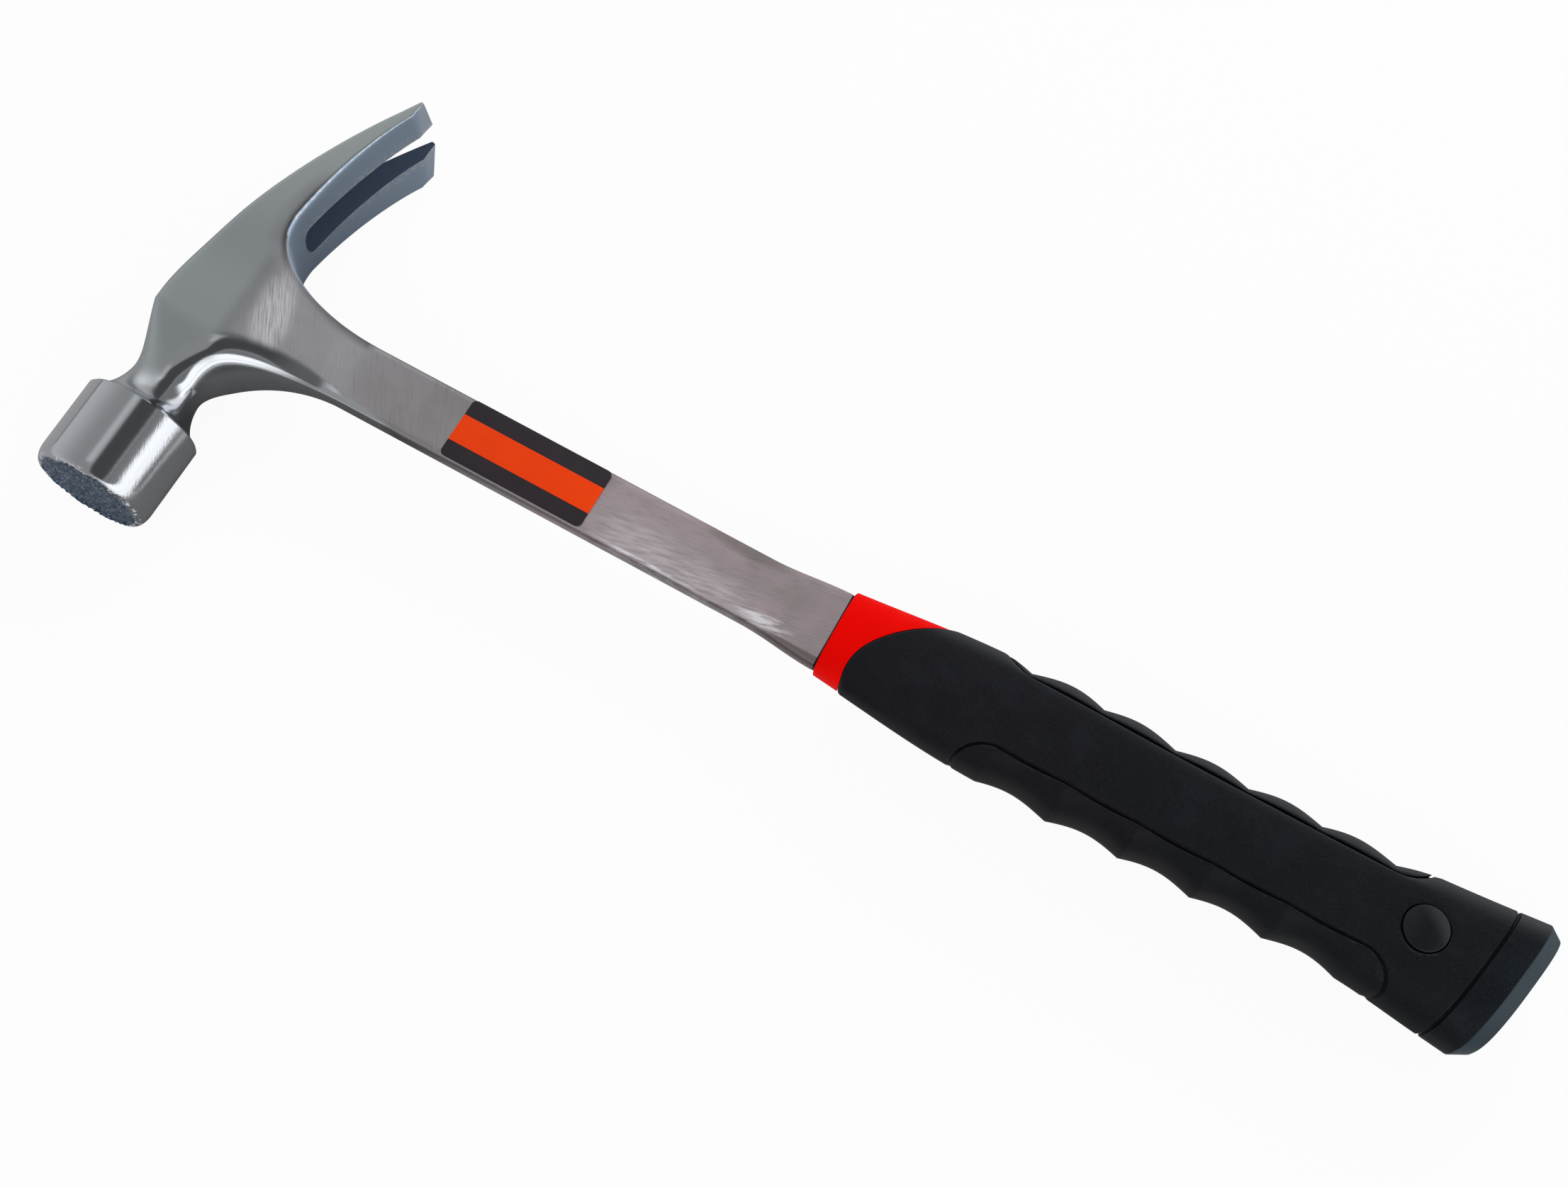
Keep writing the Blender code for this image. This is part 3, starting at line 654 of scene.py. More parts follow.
def forged_half():
    points = []
    steps = QUARTER_STEPS
    rows, levels, waist, root = head_rows(points)
    faces = [rows[0][::-1], rows[-1]]
    for i in range(len(rows) - 1):
        for m in range(steps if waist <= i < root else 0, 2 * steps):
            faces.append([rows[i][m], rows[i][m + 1], rows[i + 1][m + 1], rows[i + 1][m]])
    shares = [(y - WAIST_Y) / (CLAW_ROOT - WAIST_Y) for y in levels[waist + 1 : root]]
    fan = [rows[waist][: steps + 1] + [rows[i][steps] for i in range(waist + 1, root)]]
    fan[0] += rows[root][steps::-1]
    for front, front_in, front_sharp, rear, rear_in, rear_sharp in fan_stations():
        start = front + front_in
        end = rear + rear_in
        plan = [start + (end - start) * share for share in shares]
        line = edge_column(front, front_in, front_sharp)
        line += [(x, y, slope_height(x, y)) for x, y in plan]
        line += edge_column(rear, rear_in, rear_sharp)[::-1]
        fan.append(list(range(len(points), len(points) + len(line))))
        points += line
    for lower, upper in zip(fan, fan[1:]):
        for i in range(len(lower) - 1):
            faces.append([lower[i], upper[i], upper[i + 1], lower[i + 1]])
    faces.append(fan[-1])
    return points, faces


hammer = new_piece("hammer_forging", *forged_half())
mirror = hammer.modifiers.new("other_half", "MIRROR")
mirror.use_axis = (False, False, True)
mirror.merge_threshold = MERGE_REACH * MM
middle_plane = show("middle_plane", None)
middle_plane.location = DATUM
mirror.mirror_object = middle_plane
print("half a forging:", len(hammer.data.polygons), "faces")

# %% [markdown]
# ## The nail slot
# The slot is filed at a slant: narrow on the outer curve of the claw, where it grips the nail, and wide
# underneath. Its root is round. A lofted wedge cut away with one Boolean gives those slanted walls.

# %% Cut the slot
SLOT_ROOT = 27.0
SLOT_ROOT_GAP = 2.4
SLOT_TIP_GAP = 9.2
SLOT_BEVEL = 0.36
SLOT_ROUND = 3.0
SLOT_OVERCUT = 2.0
SLOT_FIRST_TURN = 0.12
SLOT_ROUND_ROWS = 14
SLOT_ROWS = 30
SLOT_PAST_TIP = 1.2
OVERCUT = 6.0


def slot_wedge():
    rings = []
    ease = SLOT_ROUND * (1 - np.cos(np.linspace(SLOT_FIRST_TURN, math.pi / 2, SLOT_ROUND_ROWS)))
    past = np.linspace(CLAW_ROOT + SLOT_ROUND, CLAW_REACH + OVERCUT, SLOT_ROWS)
    for y in [*(SLOT_ROOT + ease), *past]:
        run = np.clip((y - SLOT_ROOT) / (CLAW_REACH - SLOT_ROOT), 0.0, SLOT_PAST_TIP)
        half = (SLOT_ROOT_GAP + (SLOT_TIP_GAP - SLOT_ROOT_GAP) * run) / 2
        end = max(0.0, 1 - (y - SLOT_ROOT) / SLOT_ROUND)
        round_off = math.sqrt(max(0.0, 1 - end * end))
        thickness = claw_thickness(min(y, BEVEL_Y))
        top = claw_top(y) - SLOT_OVERCUT
        bottom = claw_top(y) + thickness + OVERCUT
        narrow = (half - SLOT_BEVEL * SLOT_OVERCUT) * round_off
        wide = (half + SLOT_BEVEL * (thickness + OVERCUT)) * round_off
        rings.append(np.array([(top, y, -narrow), (top, y, narrow), (bottom, y, wide), (bottom, y, -wide)]))
    return new_piece("slot_wedge", *loft(rings))


carve(hammer, ("DIFFERENCE", slot_wedge()))
bpy.data.objects.remove(middle_plane)

# %% [markdown]
# ## Where each finish lies on the steel
# One forging carries several finishes: mirror polish on the bell, neck and arch, satin on cheeks and claw
# sides, a blue heat-tinted skin under the claw and in the milled pocket, and brushing on the shank. Painted
# shade darkens the slot's walls and the edge round the hollow under the claw. They run into each other, so
# separate materials with hard borders would look wrong. Masks painted by rule let one material blend them:
# on the mesh's points where a finish fades, and on its faces where it ends at a crisp edge.

# %% Distances on the forging
ARCH_CENTRE = np.array([ARCH_END, WAIST_Y])
ARCH_AXES = np.array([ARCH_END - NECK_RADIUS, -SHANK_HALF_WIDTH - WAIST_Y])
TINY = 1e-6


def arch_share(x, y):
    """0 on the rim of the arch and 1 where its rounded edge meets the cheek or the shank."""
    offset = np.column_stack([x, y]) - ARCH_CENTRE
    level = np.sqrt(((offset / ARCH_AXES) ** 2).sum(axis=1))
    away = np.hypot(offset[:, 0], offset[:, 1]) * (1 - 1 / np.maximum(level, TINY))
    along = np.clip((x - NECK_RADIUS) / ARCH_AXES[0], 0.0, 1.0)
    return away / (NECK_RADIUS + (SHANK_EDGE - NECK_RADIUS) * along)


def root_distance(x, y):
    """How far a point lies in plan from the hollow and from the underside of the claw."""
    across = np.maximum(ARCH_END - x, 0.0)
    down = np.maximum(CLAW_ROOT - y, 0.0)
    level = (across / (ARCH_END - ROOT_BOTTOM)) ** ROOT_CURVE
    level = level + (down / (CLAW_ROOT - SHANK_HALF_WIDTH)) ** ROOT_CURVE
    away = np.hypot(across, down) * (1 - 1 / np.maximum(level, TINY) ** (1 / ROOT_CURVE))
    return np.where(y < CLAW_ROOT, away, claw_top(y) + claw_thickness(y) - x)


def paint(piece, name, values, domain="POINT"):
    """Stores a mask on a piece's points or faces, for its finish to read."""
    layer = piece.data.attributes.new(name, "FLOAT", domain)
    layer.data.foreach_set("value", np.asarray(values, dtype=np.float32))


def measured(elements, place):
    """Places of a mesh's points or faces in millimetres about the datum, and their normals."""
    places = np.empty(len(elements) * 3)
    normals = np.empty(len(elements) * 3)
    elements.foreach_get(place, places)
    elements.foreach_get("normal", normals)
    return (places.reshape(-1, 3) - DATUM) / MM, normals.reshape(-1, 3)


print("the arch is", np.round(ARCH_AXES, 1), "mm long and deep")

# %% [markdown]
# ## Paint the masks
# A mask is a value from 0 to 1. Places tell the bell from the shank, and the way a face looks tells a cheek
# from an underside or a worn corner. Painting by hand could do the same, but rules stay true when a size
# changes.

# %% Paint masks on the forging
POLISH_FADE = 12.0
BRUSH_FADE = 8.0
HAIR = 0.02


def paint_forging():
    places, normals = measured(hammer.data.vertices, "co")
    x, y, z = places.T
    facing_butt = normals[:, 0]
    upright = np.abs(normals[:, 2])
    bell = 1 - fade(y, RIM_Y, RIM_Y + POLISH_FADE)
    in_arch = (x > -1.0) & (x < ARCH_END + 40.0) & (y < -SHANK_HALF_WIDTH + 6.0) & (y >= RIM_Y)
    arch = np.where(in_arch, 1 - fade(arch_share(x, y), 0.75, 1.15), 0.0)
    paint(hammer, "polish", np.maximum(bell, arch))
    underside = fade(facing_butt, 0.35, 0.65) * (y > CLAW_ROOT - 6.0)
    inward = (facing_butt > -0.3) * (y > SHANK_HALF_WIDTH + 0.6) * (x > 1.0) * (x < ARCH_END)
    hollow = (1 - fade(upright, 0.45, 0.75)) * inward
    rim = np.array([round_radius(place) for place in y])
    pocket = (y < FACE_Y + TOOTH_DEPTH + HAIR) & (np.hypot(x, z) < rim - HAIR)
    paint(hammer, "tinted", np.maximum.reduce([underside, hollow, pocket * 1.0]))
    below = fade(x, SLOPE_START, SLOPE_START + BRUSH_FADE)
    paint(hammer, "brushed", below * (1 - arch) * (y < CLAW_ROOT - 8.0))
    corner = np.clip(1 - np.abs(upright - 0.62) / 0.36, 0.0, 1.0) * (facing_butt > 0.25)
    paint(hammer, "edge", corner * (y > CLAW_ROOT - 2.0))
    # Painted shade along the edge of the hollow under the claw.
    near = (1 - fade(root_distance(x, y), 0.5, 3.9)) * (1 - fade(y, 32.0, 46.0))
    beside_hollow = (upright > 0.3) * (x < ARCH_END) * (y > SHANK_HALF_WIDTH - 4.0)
    paint(hammer, "burnt", near * beside_hollow)
    # The faces of the slot's walls, for their painted shade.
    middles, slants = measured(hammer.data.polygons, "center")
    walls = (np.abs(middles[:, 2]) < 9.0) & (middles[:, 1] > SLOT_ROOT - 0.5) & (np.abs(slants[:, 2]) > 0.4)
    paint(hammer, "slot", walls, "FACE")
    print("painted", len(x), "points and", len(walls), "faces")


paint_forging()

# %% [markdown]
# ## Steel colours
# Bare steel is never one grey. The shank is warmer than the head, heat has tinted the underside of the claw
# blue, and chips show bright metal. Some coats are painted light and shade instead: shade on the shank's
# front side, in a dip near the collar, on the slot's walls, round the hollow under the claw and just before
# the collar, and highlights on the claw tip's bevel and along the claw's edges. One texture image could
# hold all that, but coats made by rule stay sharp at any distance and can be changed one by one.

# %% Steel colours
SLOPE = (216, 214, 218)
NEAR_SHANK = (198, 193, 195)
FAR_SHANK = (228, 211, 214)
DIP_SHADE = (142, 128, 126)
FRONT_SIDE_SHADE = (112, 98, 98)
CLOUDED = (166, 156, 156)
STROKE = (132, 124, 124)
SATIN_CHEEK = (193, 198, 201)
SATIN_TIP = (208, 213, 214)
POLISHED = (205, 207, 211)
HOLLOW_EDGE_SHADE = (96, 84, 84)
HEAT_TINT = (197, 215, 236)
TIP_BEVEL_HIGHLIGHT = (222, 232, 242)
SLOT_WALL_SHADE = (104, 120, 144)
CHIP_AND_HIGHLIGHT = (244, 246, 250)
RUST = (92, 84, 74)
COLLAR_SHADE = (52, 42, 42)


def slot_edge(y, z):
    """1 along the line where the slot's walls meet the claw's underside."""
    run = (y - SLOT_ROOT) / (CLAW_REACH - SLOT_ROOT)
    gap = (SLOT_ROOT_GAP + run * (SLOT_TIP_GAP - SLOT_ROOT_GAP)) / 2
    share = (y - CLAW_ROOT) / (BEVEL_Y - CLAW_ROOT)
    thin = (1 - share.maths("MINIMUM", share, 1.0)) ** CLAW_TAPER
    thickness = CLAW_TIP_THICKNESS + thin * (CLAW_ROOT_THICKNESS - CLAW_TIP_THICKNESS)
    beside = z.maths("ABSOLUTE", z, 0.0) - gap - thickness * SLOT_BEVEL
    away = z.maths("ABSOLUTE", beside, 0.0)
    return (1 - away.between(0.1, 0.4)) * y.between(CLAW_ROOT, CLAW_ROOT + 2.0)


def shank_tone(steel, strokes, cloud):
    """Colour of the brushed shank, from the slope below the cheek to the collar, with painted shade on its
    front side and in a dip.
    """
    x, y, _ = steel.axes()
    # Painted shade on the shank's front side, stronger towards the grip.
    front = (1 - y.between(-9.6, -9.1)) * (0.05 + x.between(105.0, 140.0) * 0.55)
    return steel.layers(
        tint(*SLOPE),
        (x.between(36.0, 52.0), NEAR_SHANK),
        (x.between(70.0, 125.0), FAR_SHANK),
        # painted shade in a shallow dip near the shank's rear edge, before the collar
        (oval(x, y, (160.0, 9.5), (16.0, 4.0)) * 0.5, DIP_SHADE),
        (front, FRONT_SIDE_SHADE),
        (cloud.between(0.35, 0.7) * 0.3, CLOUDED),
        (strokes.between(0.5, 0.75) * 0.25, STROKE),
    )


def steel_tone(steel, strokes, cloud):
    """Colour of the forging: satin, brushed shank, polish, heat tint, worn edges, and painted shade and
    highlights.
    """
    x, y, z = steel.axes()
    slot = steel.mask("slot")
    tinted = steel.mask("tinted") * (1 - slot)
    wear = steel.grain(1.1, detail=4.0)
    # Bright metal chips along the claw's edges, part wear and part painted highlight, and a painted
    # highlight along the slot's edge.
    chips_and_glints = steel.mask("edge") * (1 - slot) * wear.between(0.48, 0.62)
    chips_and_glints = chips_and_glints + slot_edge(y, z) * tinted * wear.between(0.42, 0.52)
    specks = steel.grain(0.9, detail=4.0).between(0.66, 0.72) * y.between(66.0, 74.0) * z.between(2.0, 8.0)
    satin = steel.blend(y.between(0.0, 64.0), tint(*SATIN_CHEEK), tint(*SATIN_TIP))
    return steel.layers(
        steel.blend(steel.mask("brushed"), satin, shank_tone(steel, strokes, cloud)),
        (steel.mask("polish"), POLISHED),
        # painted shade along the hollow under the claw
        (steel.mask("burnt") * 0.8, HOLLOW_EDGE_SHADE),
        (tinted, HEAT_TINT),
        # painted highlight on the bevel at the claw's tip
        (y.between(70.6, 71.4) * tinted * 0.6, TIP_BEVEL_HIGHLIGHT),
        # painted shade on the slot's walls
        (slot, SLOT_WALL_SHADE),
        (chips_and_glints, CHIP_AND_HIGHLIGHT),
        (specks * 0.6, RUST),
        (x.between(COLLAR_X - 0.8, COLLAR_X - 0.5), COLLAR_SHADE),
    )


print("polished steel in linear light:", np.round(tint(*POLISHED)[:3], 3))

# %% [markdown]
# ## Steel finish
# The finishes differ in roughness and relief too. Satin gets a fine grain that has no direction. Brushing
# is noise stretched across the shank near the head and along it near the grip, with slow waves under it,
# because a belt grinder never leaves a true flat. Polish is nearly smooth. Where grinding marks and chips
# scatter the light, and where highlights are painted on the slope, the shank, the face's rim and the lower
# arch, the steel is partly matt and pale, and its metallic value falls below 1.

# %% Steel finish
MATT_HIGHLIGHT_STEEL = (236, 235, 242)


def steel_glints(steel, strokes):
    """Where grinding marks and chips scatter the light like a matt surface, and painted highlights."""
    x, y, z = steel.axes()
    flecks = steel.grain(0.9, detail=4.0, stretch=(7.0, 1.0, 1.0), turn=-0.2)
    # Painted highlights broken up by grinding marks: a patch at the slope's start, a swath and a patch on
    # the shank near the collar, and a line on its front edge. The whole slope is lightened a little as
    # painted light too.
    patch = oval(x + y * 0.2, y, (16.5, 1.0), (6.0, 14.0))
    swath = x.inside(122.0, 168.0, 10.0) * (1 - (y + (x - 120.0) * 0.1).between(-3.0, 7.0))
    collar_highlight = oval(x, y, (173.0, -7.4), (9.0, 2.6))
    edge = y.inside(-9.2, -8.5, 0.15) * x.inside(126.0, 150.0, 12.0)
    marks = patch * strokes.between(0.25, 0.7) * 0.45 + x.inside(6.0, 40.0, 5.0) * 0.15
    marks = marks + swath * flecks.between(0.2, 0.8) * 0.42
    marks = marks + (collar_highlight + edge) * flecks.between(0.35, 0.6) * 0.7
    # Painted glints on the worn rim of the striking face.
    rim = (1 - y.between(FACE_Y + 0.4, FACE_Y + 1.4)) * (1 - steel.mask("tinted"))
    chips_and_glints = rim * steel.grain(1.3, detail=3.0).between(0.52, 0.6) * 0.8
    # Painted light on the lower part of the polished arch.
    arch = steel.mask("polish") * y.between(WAIST_Y - 6.0, WAIST_Y + 2.0) * x.between(7.0, 12.0)
    return marks * steel.mask("brushed") + chips_and_glints + arch * (1 - z.between(5.0, 9.0)) * 0.1


def steel_finish():
    steel = Finish("forged_steel")
    polish = steel.mask("polish")
    brushed = steel.mask("brushed")
    satin_grain = steel.grain(0.45, detail=4.0)
    cloud = steel.grain(14.0, detail=2.0)
    across = steel.grain(0.34, detail=3.0, stretch=(1.0, 24.0, 4.0), turn=-0.5)
    along = steel.grain(0.34, detail=3.0, stretch=(14.0, 1.0, 4.0), turn=-0.14)
    far = steel.axes()[0].between(66.0, 116.0)
    strokes = across * (1 - far) + along * far
    matt_and_highlights = steel_glints(steel, strokes)
    tone = steel.layers(steel_tone(steel, strokes, cloud), (matt_and_highlights, MATT_HIGHLIGHT_STEEL))
    rough = 0.36 + satin_grain * 0.14 - brushed * 0.04 + strokes * brushed * 0.14
    rough = rough * (1 - polish * 0.74) + steel.mask("tinted") * (1 - polish) * 0.08
    relief = steel.bump(satin_grain, 0.010, 0.5)
    relief = steel.bump(strokes * brushed, 0.05, 0.9, relief)
    relief = steel.bump(cloud * brushed, 0.25, 0.6, relief)
    steel.surface(Base_Color=tone, Roughness=rough, Metallic=1 - matt_and_highlights, Normal=relief)
    return steel.material


hammer.data.materials.clear()
hammer.data.materials.append(steel_finish())
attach(hammer, "root")
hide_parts("forged_hammer")
print("steel finish on", hammer.name)

# %% [markdown]
# ## The milled face
# Framing hammers have a checkered face: small pyramids in rows, which bite the nail's head. They repeat on
# a grid and wear unevenly, so Geometry Nodes fit well: a grid of points inside the rim, a chance height
# with a fixed seed, one four-sided tooth for each point. Modelling them one by one would take long, and
# faking them with bump would not catch the light along the broken rim.

# %% Tree of the teeth
TOOTH_SIZES = {"Pitch": 1.15, "Face Radius": TEETH_RADIUS, "Depth": TOOTH_DEPTH}
TOOTH_BASE = 0.69
TOOTH_TIP = 0.16
TOOTH_LOWEST = 0.6
TOOTH_SEED = 5


def tooth_tree(finish):
    """Teeth on a grid in the XY plane, pointing along +Z, a little uneven in height."""
    group = bpy.data.node_groups.new("milled_teeth", "GeometryNodeTree")
    group.interface.new_socket("Geometry", in_out="OUTPUT", socket_type="NodeSocketGeometry")
    for label in TOOTH_SIZES:
        group.interface.new_socket(label, in_out="INPUT", socket_type="NodeSocketFloat")
    tree = Nodes(group)
    pitch, face, depth = tree.node("NodeGroupInput", output=tuple(TOOTH_SIZES))
    across = face * 2.0
    rows = across / pitch
    lines = rows.maths("FLOOR", rows, 0.0) + 1.0
    field = {"Size X": across, "Size Y": across, "Vertices X": lines, "Vertices Y": lines}
    grid = tree.node("GeometryNodeMeshGrid", None, field)
    place = tree.node("GeometryNodeInputPosition")
    radius = tree.node("ShaderNodeVectorMath", {"operation": "LENGTH"}, {0: place}, "Value")
    unwanted = {"Geometry": grid, "Selection": radius.maths("GREATER_THAN", radius, face)}
    kept = tree.node("GeometryNodeDeleteGeometry", {"domain": "POINT"}, unwanted)
    limits = {2: TOOTH_LOWEST, 3: 1.0, "Seed": TOOTH_SEED}
    height = depth * tree.node("FunctionNodeRandomValue", None, limits, 1)
    cone = {"Vertices": 4, "Depth": 1.0, "Radius Bottom": pitch * TOOTH_BASE}
    cone["Radius Top"] = pitch * TOOTH_TIP
    tooth = tree.node("GeometryNodeMeshCone", None, cone)
    scale = tree.node("ShaderNodeCombineXYZ", None, {"X": 1.0, "Y": 1.0, "Z": height})
    copies = {"Points": kept, "Instance": tooth, "Rotation": (0.0, 0.0, math.pi / 4), "Scale": scale}
    teeth = tree.node("GeometryNodeInstanceOnPoints", None, copies)
    solid = tree.node("GeometryNodeRealizeInstances", None, {"Geometry": teeth})
    dressed = tree.node("GeometryNodeSetMaterial", None, {"Geometry": solid, "Material": finish})
    tree.node("NodeGroupOutput", None, {"Geometry": dressed}, ())
    return group


print("teeth along the face:", int(2 * TEETH_RADIUS / TOOTH_SIZES["Pitch"]) + 1)

# %% [markdown]
# ## Teeth on the bell
# The tree works in its own plane, so its result is turned to face the nail and moved into the pocket. Its
# rows lie at an angle to the claw. The teeth are the same steel as the bell, dark in the grooves and rubbed
# bright on the crests.

# %% Teeth on the bell
TOOTH_SHARP_ANGLE = 20.0
TEETH_TURN = 38
TOOTH_GROOVE = (112, 128, 148)
TOOTH_CREST = (186, 192, 198)


def tooth_finish():
    steel = Finish("milled_steel")
    wear = steel.grain(1.6, detail=3.0).between(0.45, 0.75)
    depth = steel.axes()[1]
    crest = 1 - depth.between(FACE_Y + 0.05, FACE_Y + TOOTH_DEPTH * 0.5)
    tone = steel.layers(tint(*TOOTH_GROOVE), (wear * 0.4 + crest * 0.35, TOOTH_CREST))
    steel.surface(Base_Color=tone, Roughness=0.34 + wear * 0.12, Metallic=1.0)
    return steel.material


def milled_teeth():
    made = show("milled_teeth", bpy.data.meshes.new("milled_teeth"))
    step = made.modifiers.new("teeth", "NODES")
    step.node_group = tooth_tree(tooth_finish())
    for item in step.node_group.interface.items_tree:
        if item.in_out == "INPUT":
            step[item.identifier] = TOOTH_SIZES[item.name] * MM
    settle(made, TOOTH_SHARP_ANGLE)
    turn = Matrix.Rotation(math.radians(90), 4, "X") @ Matrix.Rotation(math.radians(TEETH_TURN), 4, "Z")
    foot = Matrix.Translation(DATUM + np.array([0.0, (FACE_Y + TOOTH_DEPTH) * MM, 0.0]))
    made.data.transform(foot @ turn)
    return made


teeth = milled_teeth()
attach(teeth, "root")

# %% [markdown]
# ## The grip's form
# The grip is moulded round the tang: sections that swell from the collar to a shoulder, narrow at the waist
# and flare to a canted butt. Rings of points carry the form. Their points lie closer together where the
# finger pads begin, so that the moulding's soft edges have enough mesh to be round.

# %% Grip rules
FLARE_X = 346.4
BUTT_X = 388.4
GRIP_PLACES = [COLLAR_X, 229.2, 294.2, FLARE_X, BUTT_X]
GRIP_WIDTHS = [25.9, 32.0, 30.8, 33.8, 42.4]
GRIP_THICKNESSES = [15.4, 27.8, 28.6, 29.2, 31.2]
GRIP_ROUNDNESS = 2.7
PAD_SIDE = 10.4
EDGE_CLOSENESS = [1.3, 0.9, 0.6, 0.35, 0.15]


def grip_half(x):
    """Half the width and half the thickness of the grip at x."""
    return spline(GRIP_PLACES, GRIP_WIDTHS, x) / 2, spline(GRIP_PLACES, GRIP_THICKNESSES, x) / 2


def ring_plan(side_steps, top_steps):
    """Turning shares and levels of a quarter ring, and the signs of the four quarters."""
    levels = [PAD_SIDE + near for near in EDGE_CLOSENESS]
    levels += [PAD_SIDE - near for near in EDGE_CLOSENESS[::-1]]
    levels += onward(levels[-1], 0.0, top_steps + 1)
    turned = np.linspace(0.0, 1.0, side_steps, endpoint=False)
    shares = np.concatenate([turned, np.full(len(levels), np.nan)])
    levels = np.concatenate([np.full(side_steps, np.nan), levels])
    order = []
    for y_sign, z_sign, climbing in ((1, 1, True), (-1, 1, False), (-1, -1, True), (1, -1, False)):
        walk = range(len(shares) - 1) if climbing else range(len(shares) - 1, 0, -1)
        order += [(shares[i], levels[i], y_sign, z_sign) for i in walk]
    return np.array(order)


RING = ring_plan(side_steps=14, top_steps=10)


def outer_ring(x):
    """Sideways and upward places of a ring's points, where each point may have its own x."""
    share, level, y_sign, z_sign = RING.T
    half_width, half_thickness = grip_half(x)
    full = np.arccos(((PAD_SIDE + EDGE_CLOSENESS[0]) / half_width) ** (GRIP_ROUNDNESS / 2))
    turned = half_width * np.cos(np.nan_to_num(share) * full) ** (2 / GRIP_ROUNDNESS)
    y = np.where(np.isnan(share), np.nan_to_num(level), turned)
    z = half_thickness * np.maximum(0.0, 1 - (y / half_width) ** GRIP_ROUNDNESS) ** (1 / GRIP_ROUNDNESS)
    z = np.where(share == 0.0, 0.0, z)
    return y * y_sign, z * z_sign


print("points in a ring:", len(RING))

# %% [markdown]
# ## Edges of the mouldings
# A moulding's edges are never sharp. Instead of a bevel after the fact, each ring is drawn in by as much as
# a round edge has dropped there, which only takes the distance from that edge. The rings also lean with the
# canted butt.

# %% Moulded edges
GROOVE_X = 375.6
BUTT_CANT = 0.215
PAD_X0 = 231.2
PAD_X1 = 358.3
PAD_CORNER = 12.0


def drawn_in(x, y, z, inset):
    """A ring drawn in by inset, leaning with the canted butt."""
    half_width, half_thickness = grip_half(x)
    y = y * (half_width - inset) / half_width
    z = z * (half_thickness - inset) / half_thickness
    lean = BUTT_CANT * fade(x, FLARE_X, GROOVE_X)
    return np.column_stack([np.broadcast_to(x + lean * y, y.shape), y, z])


def soft_edge(away, radius):
    """How far a rounded edge of that radius has dropped at a distance from the edge."""
    short = radius - np.clip(away, 0.0, radius)
    return radius - np.sqrt(radius * radius - short * short)


def pad_distance(x, y):
    """Distance in plan from the outline of the nearer finger pad, negative inside it."""
    past_x = np.maximum(PAD_X0 - x, x - PAD_X1) + PAD_CORNER
    past_y = PAD_SIDE - np.abs(y) + PAD_CORNER
    outside = np.hypot(np.maximum(past_x, 0.0), np.maximum(past_y, 0.0))
    return outside - PAD_CORNER + np.minimum(np.maximum(past_x, past_y), 0.0)


print("a 1 mm round edge has dropped", round(float(soft_edge(0.3, 1.0)), 2), "mm at 0.3 mm from the edge")

# %% [markdown]
# ## Rings along the grip
# The jacket's front edge is a curve in plan, so the rings near it are bent: they run from one curve to the
# next and straighten on the way. Further back a ring lies at one place, and the places crowd together where
# an edge has to be round.

# %% Rings along the grip
EDGE_X = 198.0
EDGE_SIDE = 9.4
EDGE_CURVE = 0.036
STEADY_X = 226.0
RING_ROUNDS = 12


def front_edge(y):
    return EDGE_X + EDGE_CURVE * (y + EDGE_SIDE) ** 2


def straight(place):
    """A curve in plan that stays at one place."""
    return lambda y: place + 0.0 * y


steady = straight(STEADY_X)


def swept_ring(share, first, last):
    """A ring between two curves in plan, which share 0 and 1 give."""
    x = np.full(len(RING), (first(0.0) + last(0.0)) / 2)
    for _ in range(RING_ROUNDS):
        y, z = outer_ring(x)
        x = first(y) + (last(y) - first(y)) * share
    return x, y, z


def even_ring(x):
    y, z = outer_ring(x)
    return np.full(len(RING), x), y, z


def finely(first, last, coarse, marks, fine, reach):
    """Places from first to last, coarse apart, and fine apart within reach of each mark."""
    places = [first]
    while places[-1] < last:
        near = min(abs(places[-1] - mark) for mark in marks)
        places.append(places[-1] + (fine if near < reach else min(coarse, max(fine, near - reach))))
    places[-1] = last
    return places


print("the jacket's edge runs back by", round(front_edge(EDGE_SIDE) - EDGE_X, 1), "mm")

# %% [markdown]
# ## Tools for the beds
# The pads and the plugs sit in beds, and their own outlines are the best tools to cut those: a prism with
# the plan of a pad, and a turned solid on the pin's axis. The same two functions later make the pads and
# the plugs themselves, so a piece always suits its bed.

# %% Tools for the beds
PIN_X = 358.4
PLUG_RADIUS = 6.1
FAR = 43.0


def pad_prism(name, side, shrink):
    """The plan of a finger pad, pushed through the grip."""
    corner = PAD_CORNER - shrink
    turn = np.radians(np.linspace(180.0, 270.0, 25))
    run = corner * (1 + np.cos(turn))
    rise = corner * (1 + np.sin(turn)) + PAD_SIDE + shrink
    first = np.column_stack([PAD_X0 + shrink + run, rise])
    last = np.column_stack([PAD_X1 - shrink - run, rise])[::-1]
    far = [(PAD_X1 - shrink, FAR), (PAD_X0 + shrink, FAR)]
    plan = np.concatenate([first, last, far]) * (1, side)
    if side < 0:
        plan = plan[::-1]
    return new_piece(name, *loft([raised(plan, -FAR), raised(plan, FAR)]))


def turned_solid(name, profile, x, steps=96):
    """A turned solid on an upright axis, from (radius, height) pairs that climb."""
    turn = np.linspace(0.0, 2 * math.pi, steps, endpoint=False)
    circle = np.column_stack([np.cos(turn), np.sin(turn)])
    return new_piece(name, *loft([raised(circle * radius + (x, 0.0), z) for radius, z in profile]))


print("a pad is", round(PAD_X1 - PAD_X0, 1), "mm long")

